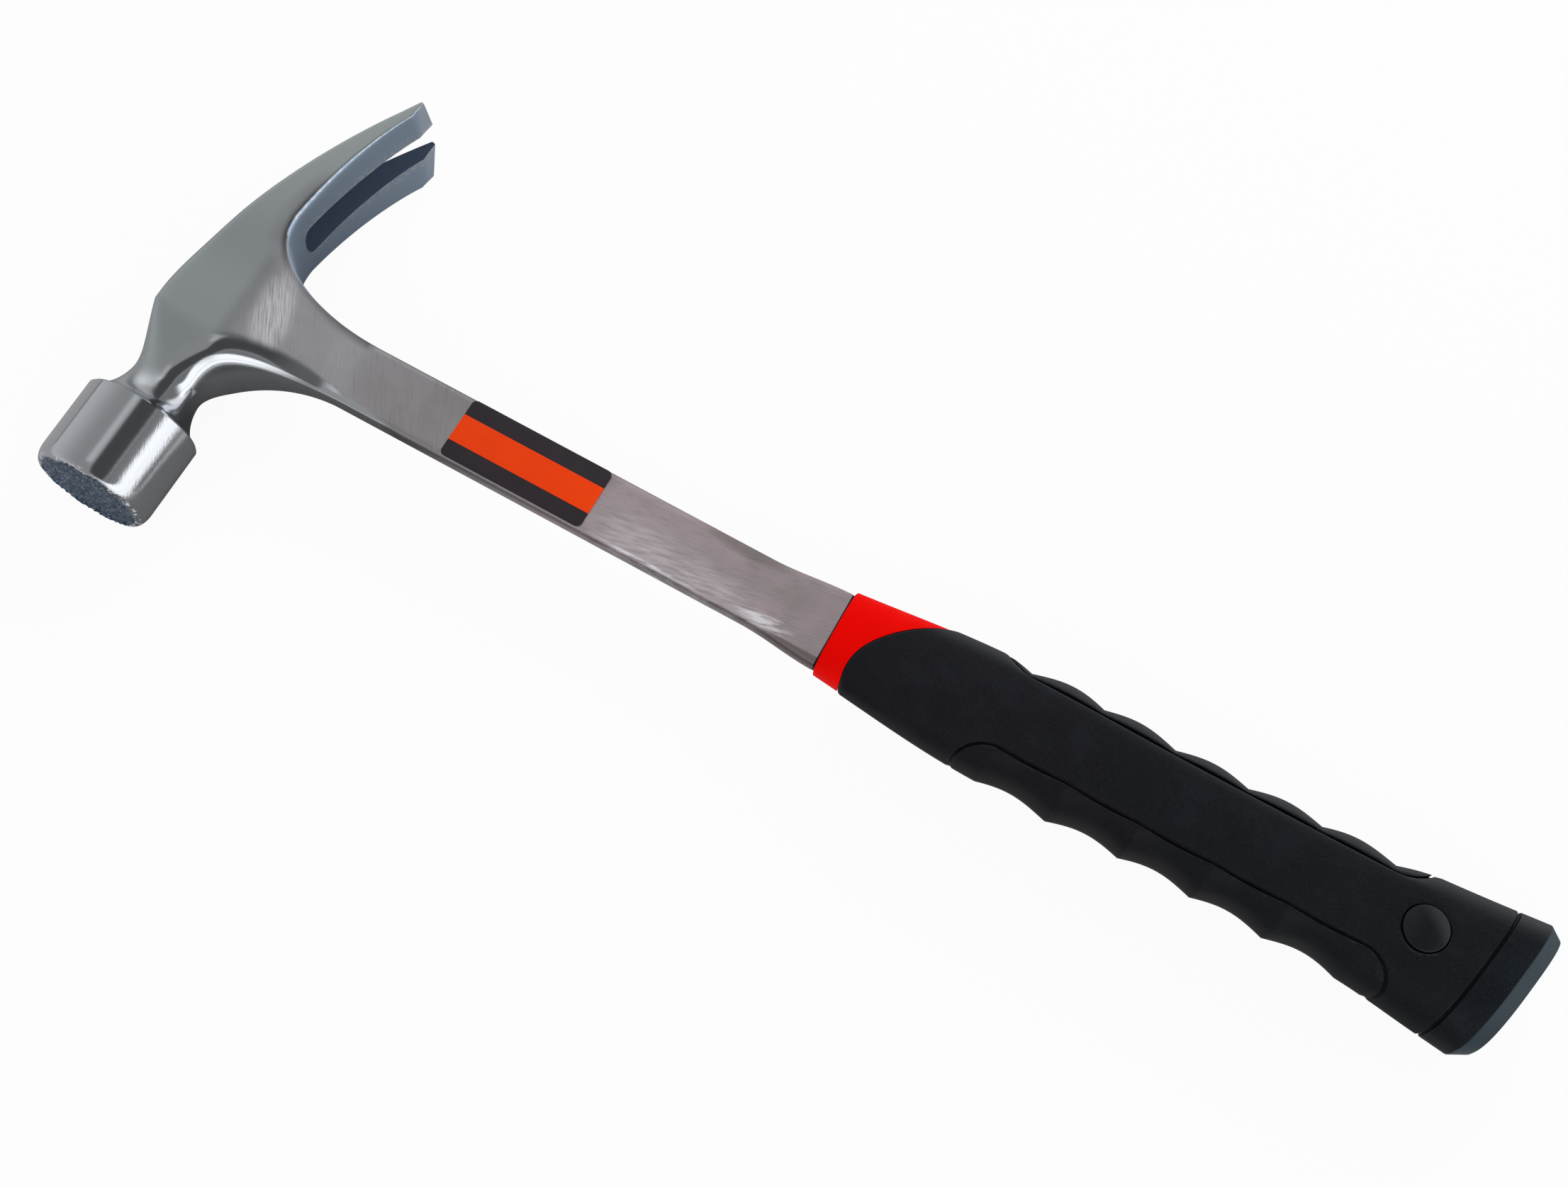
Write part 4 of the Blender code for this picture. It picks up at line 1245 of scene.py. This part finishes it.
# %% [markdown]
# ## Black jacket
# The jacket is a soft second moulding over the red core, and its edges are round. The shell is drawn as
# rings that run back along the outside and return along the inside, so it closes without a Boolean. Three
# more steps then cut the beds of the two finger pads and of the plugs.

# %% Jacket
CAP_GROOVE = 0.8
JACKET_END = GROOVE_X - CAP_GROOVE / 2
JACKET_WALL = 2.5
JACKET_ROWS = 40
JACKET_CROWDING = 2.2
FRONT_ROUND = 1.3
BED_ROUND = 0.4
PLUG_RING = 0.4


def jacket_rings():
    rings = []
    for share in np.linspace(0.0, 1.0, JACKET_ROWS) ** JACKET_CROWDING:
        rings.append(swept_ring(share, front_edge, steady))
    marks = [PAD_X0, PAD_X1, JACKET_END]
    places = finely(STEADY_X, JACKET_END, coarse=2.0, marks=marks, fine=0.2, reach=1.0)
    return rings + [even_ring(x) for x in places[1:]]


def jacket_drop(x, y):
    """Rounding of the jacket's front edge, pad beds, butt groove and plug bed."""
    front = soft_edge(x - front_edge(y), FRONT_ROUND)
    beds = soft_edge(pad_distance(x, y), BED_ROUND)
    groove = soft_edge(JACKET_END - x, BED_ROUND)
    plug_bed = soft_edge(np.hypot(x - PIN_X, y) - PLUG_RADIUS - PLUG_RING, BED_ROUND)
    return np.maximum.reduce([front, beds, groove, plug_bed])


def grip_jacket():
    rings = jacket_rings()
    outer = [drawn_in(x, y, z, jacket_drop(x, y)) for x, y, z in rings]
    inner = [drawn_in(x, y, z, JACKET_WALL) for x, y, z in rings[::-1]]
    made = new_piece("jacket", *loft(outer + inner, capped=False))
    bore = PLUG_RADIUS + PLUG_RING
    tools = [pad_prism("front_bed", -1, 0.0), pad_prism("rear_bed", 1, 0.0)]
    tools.append(turned_solid("plug_bed", [(bore, -FAR), (bore, FAR)], PIN_X))
    return carve(made, *(("DIFFERENCE", tool) for tool in tools))


jacket = grip_jacket()

# %% [markdown]
# ## Red core
# Only the collar of the core shows. It lies a little lower than the jacket, has a round lip at its front,
# and dives under the jacket at the curved edge. The hollow for the tang is cut with the shank's own rule.

# %% Core
RED_STEP = 0.35
SEAT_GAP = 0.3
CORE_END = 381.0
COLLAR_ROUND = 0.5


def tang_hollow():
    """The tang's form with a little room round it."""
    across, up = quarter(8, SHANK_SHARPNESS)
    rings = []
    for x in [COLLAR_X - OVERCUT, *np.linspace(COLLAR_X, COLLAR_X + TANG_TAPER, 8), TANG_END + SEAT_GAP]:
        flat = shank_half_width(x) + SEAT_GAP - SHANK_EDGE
        corner = np.column_stack([flat + SHANK_EDGE * across, (SHANK_HALF + SEAT_GAP) * up])
        half = np.concatenate([corner, corner[::-1] * (-1, 1)])
        ring = np.concatenate([half, half[-2:0:-1] * (1, -1)])
        rings.append(np.column_stack([np.full(len(ring), x), ring]))
    return new_piece("tang_hollow", *loft(rings))


def grip_core():
    rings = []
    for share in np.concatenate([np.linspace(0.0, 0.1, 8, endpoint=False), np.linspace(0.1, 1.0, 24)]):
        x, y, z = swept_ring(share, straight(COLLAR_X), front_edge)
        rings.append(drawn_in(x, y, z, RED_STEP + soft_edge(x - COLLAR_X, COLLAR_ROUND)))
    hidden = JACKET_WALL + SEAT_GAP
    for share in np.linspace(0.0, 1.0, 12):
        rings.append(drawn_in(*swept_ring(share, front_edge, steady), hidden))
    for x in onward(STEADY_X, CORE_END, 40):
        rings.append(drawn_in(*even_ring(x), hidden))
    return carve(new_piece("core", *loft(rings)), ("DIFFERENCE", tang_hollow()))


core = grip_core()

# %% [markdown]
# ## Finger pads
# The front pad has finger hollows with cusped ridges between them. The rear pad has the same rhythm turned
# inside out: round lobes with notches between them. The absolute value of a sine is that shape. Each pad is
# the patterned form cut to the pad's plan, with round edges that leave a groove to the jacket.

# %% Pads
SCALLOP_PITCH = 21.0
SCALLOP_START = 241.7
SCALLOP_COUNT = 5
SCALLOP_DEPTH = 2.0
PAD_CREST = 0.9
PAD_GROOVE = 0.7
PAD_ROUND = 0.45
PAD_OVERRUN = 2.0
GROOVE_DEPTH = 0.8
GROOVE_MARGIN = 0.03
SNUG = 0.06


def scalloped(x, y):
    """Sideways places of a ring with the finger pattern, which ends before the pad does."""
    last = SCALLOP_START + SCALLOP_COUNT * SCALLOP_PITCH
    inside = np.minimum(x - SCALLOP_START, last - x)
    wave = np.abs(np.sin(math.pi * (x - SCALLOP_START) / SCALLOP_PITCH))
    flush = grip_half(x)[0]
    crest = flush + PAD_CREST * smooth_step(inside / SCALLOP_PITCH)
    past = np.where(x < last, (SCALLOP_START - x) / (SCALLOP_START - PAD_X0), (x - last) / (PAD_X1 - last))
    rise = np.sin(np.clip(past, 0.0, 1.0) * math.pi / 2)
    front = np.where(inside >= 0, crest - SCALLOP_DEPTH * wave, flush)
    rear = np.where(inside >= 0, crest - SCALLOP_DEPTH * (1 - wave), flush - SCALLOP_DEPTH * (1 - rise))
    return y * np.where(y < 0, front, rear) / flush


def pad_form(inset):
    rings = []
    notches = [SCALLOP_START + SCALLOP_PITCH * k for k in range(SCALLOP_COUNT + 1)]
    marks = [PAD_X0, PAD_X1, *notches]
    first = PAD_X0 - PAD_OVERRUN
    last = PAD_X1 + PAD_OVERRUN
    for place in finely(first, last, coarse=1.2, marks=marks, fine=0.3, reach=1.2):
        x, y, z = even_ring(place)
        y = scalloped(x, y)
        drop = 0.0 if inset else soft_edge(-pad_distance(x, y) - PAD_GROOVE, PAD_ROUND)
        rings.append(drawn_in(x, y, z, drop + inset))
    return new_piece("pad_form", *loft(rings))


def core_space():
    """The room that the core takes up inside the pads and the cap."""
    places = np.linspace(COLLAR_X, CORE_END + SEAT_GAP, 60)
    return new_piece("core_space", *loft([drawn_in(*even_ring(x), JACKET_WALL) for x in places]))


def finger_pad(name, side):
    foot = carve(pad_prism(name + "_foot", side, SNUG), ("INTERSECT", pad_form(GROOVE_DEPTH)))
    made = pad_prism(name, side, PAD_GROOVE)
    carve(made, ("INTERSECT", pad_form(0.0)), ("UNION", foot), ("DIFFERENCE", core_space()))
    x, y, _ = measured(made.data.polygons, "center")[0].T
    # The faces in the groove round the pad, for their painted shade.
    paint(made, "groove", pad_distance(x, y) > GROOVE_MARGIN - PAD_GROOVE, "FACE")
    return made


front_pad = finger_pad("front_pad", -1)
rear_pad = finger_pad("rear_pad", 1)

# %% [markdown]
# ## Butt cap
# The cap closes the canted end, with a wide chamfer round a flat land and a short spigot that reaches over
# the groove to the jacket. Its profile is a few straight runs with rounded corners, and each point of that
# profile becomes a ring of the grip. One Boolean then makes room for the core.

# %% Cap
CAP_CHAMFER = 2.9
CAP_CHAMFER_RUN = 4.3
CAP_SIDE = 4.5
CAP_LAND = 1.5
CAP_ROUND = 0.34
SPIGOT_DEPTH = 2.0


def eased(profile, reach, steps=7):
    """A profile of straight runs whose inner corners are rounded over reach."""
    profile = np.array(profile, dtype=float)
    rounded = [profile[0]]
    for before, corner, after in zip(profile, profile[1:], profile[2:]):
        start = corner + (before - corner) * reach / np.linalg.norm(before - corner)
        end = corner + (after - corner) * reach / np.linalg.norm(after - corner)
        for t in np.linspace(0.0, 1.0, steps):
            rounded.append(start * (1 - t) ** 2 + corner * 2 * t * (1 - t) + end * t * t)
    return rounded + [profile[-1]]


def butt_cap():
    start = GROOVE_X + CAP_GROOVE / 2
    shoulder = BUTT_X - CAP_CHAMFER_RUN
    land = CAP_CHAMFER + CAP_LAND
    spigot = JACKET_END + SNUG
    corners = [(spigot, SPIGOT_DEPTH), (spigot, GROOVE_DEPTH), (start, GROOVE_DEPTH), (start, 0.0)]
    corners += [(start + CAP_SIDE, 0.0), (shoulder, 0.0), (BUTT_X, CAP_CHAMFER), (BUTT_X, land)]
    rings = eased(corners, CAP_ROUND)
    loops = [drawn_in(*even_ring(x), inset) for x, inset in rings]
    centre = np.array([BUTT_X, 0.0, 0.0])
    loops += [centre + (loops[-1] - centre) * share for share in (0.7, 0.4, 0.1)]
    made = carve(new_piece("cap", *loft(loops)), ("DIFFERENCE", core_space()))
    x, y, _ = measured(made.data.polygons, "center")[0].T
    # The faces in the butt groove, for their painted shade.
    paint(made, "groove", x - BUTT_CANT * y < start - GROOVE_MARGIN, "FACE")
    return made


cap = butt_cap()

# %% [markdown]
# ## Plugs
# A plug covers each end of the pin. It is a turned piece: a low dome with a fine round lip at its rim, as
# a lathe or a Spin would give it. The lower plug is the upper one turned over.

# %% Plugs
PLUG_DOME = 1.0
PLUG_CHAMFER = 0.2
PLUG_SINK = 0.15
PLUG_LIP = 0.35
PLUG_LIP_RISE = 0.2
CORE_CROWN = float(grip_half(PIN_X)[1]) - JACKET_WALL


def plug(name, side):
    surface = float(grip_half(PIN_X)[1])
    profile = [(PLUG_RADIUS - PLUG_CHAMFER, CORE_CROWN), (PLUG_RADIUS, CORE_CROWN + PLUG_CHAMFER)]
    profile.append((PLUG_RADIUS, surface - PLUG_SINK))
    for turn in np.linspace(0.1, math.pi / 2, 6):
        lip = PLUG_RADIUS - PLUG_LIP * (1 - math.cos(turn))
        profile.append((lip, surface - PLUG_SINK + PLUG_LIP * math.sin(turn)))
    for share in np.linspace(0.93, 0.02, 14):
        dome = (PLUG_DOME - PLUG_LIP_RISE) * (1 - share * share)
        profile.append((PLUG_RADIUS * share, surface + PLUG_LIP_RISE + dome))
    made = turned_solid(name, profile, PIN_X)
    if side < 0:
        about = Matrix.Translation(DATUM) @ Matrix.Rotation(math.pi, 4, "X") @ Matrix.Translation(-DATUM)
        made.data.transform(about)
    return settle(made)


plugs = [plug("plug_up", 1), plug("plug_down", -1)]

# %% [markdown]
# ## Label
# The label is a thin film with round corners, stuck to the upper side of the shank. Its outline is drawn
# a few times, a little smaller towards the top, so that its edge is soft and catches some light.

# %% Label
LABEL_START = 74.2
LABEL_LENGTH = 43.5
LABEL_WIDTH = 18.5
LABEL_CORNER = 1.6
LABEL_LIFT = 0.1
LABEL_THICKNESS = 0.3
LABEL_EDGE = [(0.0, 0.0), (0.0, 0.5), (0.06, 0.85), (0.2, 1.0)]
LABEL_SHARP_ANGLE = 50.0


def label_outline(inset):
    centres = [(1, 1, 0), (-1, 1, 90), (-1, -1, 180), (1, -1, 270)]
    outline = []
    for x_sign, y_sign, first in centres:
        turn = np.radians(np.linspace(first, first + 90, 13))
        x = x_sign * (LABEL_LENGTH / 2 - LABEL_CORNER) + (LABEL_CORNER - inset) * np.cos(turn)
        y = y_sign * (LABEL_WIDTH / 2 - LABEL_CORNER) + (LABEL_CORNER - inset) * np.sin(turn)
        outline.append(np.column_stack([x + LABEL_START + LABEL_LENGTH / 2, y]))
    return np.concatenate(outline)


def shank_label():
    foot = SHANK_HALF + LABEL_LIFT
    rings = [raised(label_outline(inset), foot + LABEL_THICKNESS * height) for inset, height in LABEL_EDGE]
    return settle(new_piece("label", *loft(rings)), LABEL_SHARP_ANGLE)


label = shank_label()

# %% [markdown]
# ## Rubber
# The jacket and pads are soft black rubber with a fine mould grain that shows as a dull sheen, and dust
# that lightens it in patches. The cap is the same rubber, a little smoother, with a painted highlight on
# its bevel. A plain colour would look like paint, so grain drives roughness and relief. Sides that face the
# rear have a painted sheen, the tone is cooler towards the butt, and the floors of the grooves have painted
# shade.

# %% Rubber
COOL_BLACK = (7, 12, 15)
REAR_SHEEN = (72, 74, 78)
GROOVE_SHADE = (3, 3, 4)


def rubber_finish(name, dark, pale, roughness, grain_size, relief_depth, bevel=None):
    rubber = Finish(name)
    fine = rubber.grain(grain_size, detail=5.0)
    dust = rubber.grain(9.0, detail=4.0)
    x, y, _ = rubber.axes()
    coats = [
        (x.between(240.0, 350.0), COOL_BLACK),
        (dust.between(0.42, 0.78) * 0.4 + fine.between(0.38, 0.64) * 0.6, pale),
        # painted sheen on the sides that face the rear and up
        (rubber.mask("rear_sheen") * 0.5, REAR_SHEEN),
        # painted shade on the floors of the grooves
        (rubber.mask("groove") * 0.9, GROOVE_SHADE),
    ]
    # The cap's bevel gets a painted highlight, a strip paler than the rubber.
    if bevel:
        start = BUTT_X - CAP_CHAMFER_RUN
        coats.append(((x - y * BUTT_CANT).between(start - 0.1, start + 0.3) * 0.8, bevel))
    tone = rubber.layers(tint(*dark), *coats)
    rough = roughness + dust * 0.16 + fine * 0.08 - 0.12
    relief = rubber.bump(fine, relief_depth, 0.7)
    rubber.surface(Base_Color=tone, Roughness=rough, Normal=relief, Specular_IOR_Level=0.25)
    return rubber.material


BLACK = rubber_finish("black_jacket", (12, 12, 18), (28, 29, 36), 0.62, 0.42, 0.03)
PAD_BLACK = rubber_finish("black_pad", (11, 11, 15), (27, 27, 32), 0.6, 0.42, 0.03)
# The cap's last colour is the painted highlight on its bevel.
CAP_BLACK = rubber_finish("black_cap", (12, 17, 23), (27, 34, 42), 0.5, 0.4, 0.02, (56, 72, 80))
print("rubber finishes:", [made.name for made in (BLACK, PAD_BLACK, CAP_BLACK)])

# %% [markdown]
# ## Red and black plastic
# The core is a strong red, slightly waxy plastic with faint flow marks, and has painted shade where the
# jacket covers it. The plugs are a harder black plastic, scuffed by use and lighter on the side that faces
# the light.

# %% Red and black plastic
RED = (252, 6, 0)
DEEP_RED = (240, 2, 0)
SHADE_UNDER_JACKET = (14, 14, 16)
PLUG_BLACK = (6, 9, 11)
PLUG_SCUFF = (30, 34, 38)
PLUG_SHEEN = (62, 68, 74)


def red_finish():
    red = Finish("red_moulding")
    flow = red.grain(6.0, detail=3.0)
    fine = red.grain(0.5, detail=3.0)
    x, y, _ = red.axes()
    under = x - (y + EDGE_SIDE) * (y + EDGE_SIDE) * EDGE_CURVE - EDGE_X
    # Painted shade on the core just behind the jacket's front edge.
    coats = [(flow.between(0.3, 0.8) * 0.5, DEEP_RED), (under.between(0.0, 0.3), SHADE_UNDER_JACKET)]
    relief = red.bump(fine, 0.012, 0.4)
    red.surface(Base_Color=red.layers(tint(*RED), *coats), Roughness=0.4 + fine * 0.16, Normal=relief)
    red.surface(Specular_IOR_Level=0.04)
    return red.material


def plug_finish():
    black = Finish("plug_plastic")
    fine = black.grain(0.6, detail=3.0)
    scuff = black.grain(0.5, detail=4.0, stretch=(8.0, 1.0, 1.0), turn=0.6)
    x, y, _ = black.axes()
    sheen = ((x - PIN_X) * 0.6 + y * 0.8).between(0.5, 5.5) * 0.5
    tone = black.layers(tint(*PLUG_BLACK), (scuff.between(0.6, 0.8) * 0.4, PLUG_SCUFF), (sheen, PLUG_SHEEN))
    black.surface(Base_Color=tone, Roughness=0.34 + fine * 0.2, Normal=black.bump(fine, 0.01, 0.4))
    return black.material


print("red in linear light:", np.round(tint(*RED)[:3], 3))

# %% [markdown]
# ## Label film
# The label has three plain bands along the shank, so two steps on the Y axis are enough to draw them. A
# little gloss variation and rubbed specks keep it from looking like a flat card. The pin is plain ground
# steel, with fine lines along it.

# %% Label and pin
BAND_REAR = 4.0
BAND_FRONT = -4.4
BAND_SOFTNESS = 0.06
INK = (48, 42, 46)
PALE_INK = (58, 50, 54)
ORANGE = (252, 68, 0)
DEEP_ORANGE = (244, 60, 0)
RUBBED = (150, 140, 136)
PIN_DARK = (150, 150, 152)
PIN_LIGHT = (186, 186, 188)


def label_finish():
    film = Finish("label_film")
    y = film.axes()[1]
    speck = film.grain(0.35, detail=4.0)
    cloud = film.grain(7.0, detail=3.0).between(0.3, 0.8) * 0.5
    ink = film.layers(tint(*INK), (cloud, PALE_INK))
    bright = film.layers(tint(*ORANGE), (cloud, DEEP_ORANGE))
    bands = film.blend(y.inside(BAND_FRONT, BAND_REAR, BAND_SOFTNESS), ink, bright)
    tone = film.layers(bands, (speck.between(0.66, 0.8) * 0.25, RUBBED))
    relief = film.bump(speck, 0.006, 0.4)
    film.surface(Base_Color=tone, Roughness=0.4 + speck * 0.14, Normal=relief, Specular_IOR_Level=0.2)
    return film.material


def pin_finish():
    steel = Finish("pin_steel")
    lines = steel.grain(0.3, detail=3.0, stretch=(1.0, 1.0, 14.0))
    tone = steel.layers(tint(*PIN_DARK), (lines, PIN_LIGHT))
    steel.surface(Base_Color=tone, Roughness=0.28 + lines * 0.16, Metallic=1.0)
    return steel.material


print("orange band is", round(BAND_REAR - BAND_FRONT, 1), "mm wide")

# %% [markdown]
# ## Dress the grip
# Every piece gets its finish, rides on the one body and says which solid it stands for. The pin is hidden
# in the grip, so its own solid is kept and only gets a finish. The rubber's sides that face the rear and up
# are marked first, for their painted sheen. The core is hidden from mirrored rays, because its red collar
# would draw a streak on the polished bell.

# %% Dress the grip
DRESS = [
    (jacket, BLACK, "grip_jacket", "black_jacket"),
    (core, red_finish(), "grip_core", "red_moulding"),
    (front_pad, PAD_BLACK, "front_finger_pad", "black_pad"),
    (rear_pad, PAD_BLACK, "rear_finger_pad", "black_pad"),
    (cap, CAP_BLACK, "butt_cap", "black_cap"),
    (plugs[0], plug_finish(), "plug_upper", "plug_plastic"),
    (plugs[1], plug_finish(), "plug_lower", "plug_plastic"),
    (label, label_finish(), "shank_label", "label_film"),
]
# A mask for the painted sheen on the rubber's sides that face the rear and up.
for piece in (jacket, front_pad, rear_pad, cap):
    normals = measured(piece.data.vertices, "co")[1]
    paint(piece, "rear_sheen", fade(normals[:, 1], 0.25, 0.85) * fade(normals[:, 2], -0.1, 0.3))
for piece, finish, node, slot in DRESS:
    piece.data.materials.clear()
    piece.data.materials.append(finish)
    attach(piece, "root")
    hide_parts(node)
core.visible_glossy = False
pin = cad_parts["tang_pin"]
pin.data.materials.clear()
pin.data.materials.append(pin_finish())
print("dressed", len(DRESS), "pieces and the pin")

# %% [markdown]
# ## Camera
# The camera looks down on the hammer from above the front of the handle. Its place and tilt were solved
# from the bell's circle, the label's rectangle and the even finger pitch, so it is set by numbers. The
# columns of the matrix are the camera's own axes: right, up and back.

# %% Camera
PHOTO_WIDTH = 2212
FOCAL_PIXELS = 3142.8
SENSOR = 36.0
CLIP_START = 10.0
CAMERA_PLACE = np.array([239.82, -203.33, 553.77])
CAMERA_AXES = Matrix((
    (0.87575, -0.46976, 0.11129),
    (0.47717, 0.80729, -0.34726),
    (0.07329, 0.35721, 0.93114),
))


def photo_camera():
    lens = bpy.data.cameras.new("photo_camera")
    lens.sensor_fit = "HORIZONTAL"
    lens.sensor_width = SENSOR
    lens.lens = FOCAL_PIXELS / PHOTO_WIDTH * SENSOR
    lens.clip_start = CLIP_START * MM
    made = show("photo_camera", lens)
    made.matrix_world = Matrix.Translation(CAMERA_PLACE * MM + DATUM) @ CAMERA_AXES.to_4x4()
    bpy.context.scene.camera = made
    return made


camera = photo_camera()
print("lens:", round(camera.data.lens, 2), "mm")

# %% [markdown]
# ## White floor
# The hammer lies on plain white, so camera rays see a floor that glows white and keeps only a faint shadow.
# Polished steel mirrors the floor as well, and white there would wash out its shapes. Mirrored rays see
# grey levels instead, which were matched to the bell, the arch and the claw.

# %% Floor
FLOOR_SPAN = 3000.0
FLOOR_LIGHT = (240, 240, 240)
FLOOR_DULL = (236, 236, 236)
FLOOR_GLOW = 0.94
MIRRORED_SHARE = 0.93
WHITE = (1.0, 1.0, 1.0, 1.0)
NO_LIGHT = (0.0, 0.0, 0.0, 1.0)


def mirrored_level(x, y):
    """Grey level of the floor as polished steel shows it, brighter in five fields."""
    return sum([
        x.between(52.0, 85.0) * y.inside(-24.0, 0.0, 8.0) * 0.36,
        x.between(60.0, 260.0) * 0.1,
        (1 - x.between(-50.0, -5.0)) * (0.38 - y.between(20.0, 90.0) * 0.2),
        x.between(-40.0, 10.0) * y.between(0.0, 160.0) * 0.4,
        x.between(20.0, 100.0) * y.between(90.0, 190.0) * 0.5,
    ], 0.03)


def floor_finish():
    floor = Finish("studio_floor")
    tone = floor.layers(tint(*FLOOR_LIGHT), (floor.grain(400.0, detail=2.0) * 0.3, FLOOR_DULL))
    floor.surface(Base_Color=tone, Roughness=0.9, Specular_IOR_Level=0.0)
    x, y, _ = floor.axes()
    seen, mirrored = floor.node("ShaderNodeLightPath", output=("Is Camera Ray", "Is Glossy Ray"))
    glow = floor.node("ShaderNodeEmission", None, {"Color": WHITE, "Strength": 1.0})
    dark = floor.node("ShaderNodeEmission", None, {"Color": NO_LIGHT, "Strength": 1.0})
    grey = floor.node("ShaderNodeMixShader", None, {0: mirrored_level(x, y), 1: dark, 2: glow})
    away = (x * x + y * y).between(500.0**2, 1200.0**2)
    bright = seen * (FLOOR_GLOW + away * (1 - FLOOR_GLOW))
    shaded = Wire(floor, floor.shader.outputs[0])
    white = floor.node("ShaderNodeMixShader", None, {0: bright, 1: shaded, 2: glow})
    mixed = floor.node("ShaderNodeMixShader", None, {0: mirrored * MIRRORED_SHARE, 1: white, 2: grey})
    floor.feed(floor.tree.nodes["Material Output"], {"Surface": mixed})
    return floor.material


corners = FLOOR_SPAN * np.array([(-1, -1), (1, -1), (1, 1), (-1, 1)])
studio_floor = new_piece("studio_floor", [(x, y, -DATUM[2] / MM) for x, y in corners], [[0, 1, 2, 3]])
studio_floor.data.materials.append(floor_finish())
print("floor lies", round(DATUM[2] / MM, 2), "mm below the datum")

# %% [markdown]
# ## Room
# Polished steel shows the room too, so the room is part of the look. Beyond the head its wall is grey, with
# a gleam near the top. Over the handle lies a dark ceiling with a lighter slit. Low beyond the handle's
# front is a bright window with a bar across it and a pale skirting below, and it is bright behind the claw
# and low behind the handle. Camera rays see plain white.

# %% Room
ROOM_TONE = (0.97, 0.99, 1.0, 1.0)


def room_level(room):
    """Brightness of the room along a ray, from its X, Y and Z and its turn from straight up to +X."""
    x, y, z = room.split(room.node("ShaderNodeTexCoord", output="Generated"))
    turn = x.maths("ARCTAN2", x, z) * math.degrees(1.0)
    walls = 0.6 - turn.between(-88.0, -26.0) * 0.25
    gleam = turn.inside(-14.0, -3.0, 4.0) * y.between(-0.2, 0.1) * 0.26
    shade = (turn + y.between(0.5, 0.8) * 20.0).between(-1.0, 3.0) * (1 - turn.between(88.0, 92.0))
    slit = turn.inside(32.0, 34.0, 0.6) * 0.16
    grey = turn.between(29.0, 33.0) * 0.15
    ceiling = (walls + gleam) * (1 - shade) + shade * (0.08 + grey) + slit
    side = (x * 0.75 - y * 0.66).between(0.0, 0.35)
    bar = z.inside(0.27, 0.29, 0.01) * 0.5
    window = z.inside(0.09, 0.59, 0.03) * (1 - bar) * side * (0.3 + x.between(0.1, 0.6) * 1.3)
    skirting = z.inside(0.0, 0.03, 0.01) * side * 0.9
    rear = y.between(0.4, 0.7) * z.between(0.05, 0.3) * (1 - x.between(-0.2, 0.0)) * 0.55
    rear = rear * (1 - y.between(0.78, 0.9) * 0.8)
    glare = y.between(0.4, 0.6) * x.between(0.25, 0.5) * z.inside(-0.1, 0.2, 0.05) * 0.9
    return ceiling * (1 - window.between(0.0, 0.4)) + window + skirting + rear + glare


world = bpy.data.worlds.new("studio_room")
world.use_nodes = True
bpy.context.scene.world = world
room = Nodes(world.node_tree)
seen = room.node("ShaderNodeLightPath", output="Is Camera Ray")
light = {"Color": room.blend(seen, ROOM_TONE, WHITE), "Strength": room_level(room) * (1 - seen) + seen}
room.feed(room.tree.nodes["Background"], light)
print("room made of", len(room.tree.nodes), "nodes")

# %% [markdown]
# ## Lamps
# Two soft lamps lift the dark rubber and give the faint shadow. They are hidden from mirrored rays, so the
# steel shows the room and no lamp. The Standard view keeps white at white.

# %% Lamps
ORIGIN = (0.0, 0.0, 0.0)


def lamp(name, place, size, power):
    """A soft rectangular lamp at a place, turned towards the origin."""
    light = bpy.data.lights.new(name, "AREA")
    light.shape = "RECTANGLE"
    light.size, light.size_y = size
    light.energy = power
    made = show(name, light)
    aim = Vector(ORIGIN) - Vector(place)
    made.matrix_world = Matrix.Translation(place) @ aim.to_track_quat("-Z", "Y").to_matrix().to_4x4()
    made.visible_glossy = False
    return made


lamps = [lamp("soft_box", (-0.2, -1.0, 1.0), (1.2, 1.2), 5.0)]
lamps.append(lamp("back_light", (0.15, 1.1, 0.75), (1.2, 0.7), 9.0))
bpy.context.scene.view_settings.view_transform = "Standard"
print("lamps:", [made.name for made in lamps])

# %% [markdown] ## Close the lesson The dressed part has to stay the size of the solids.
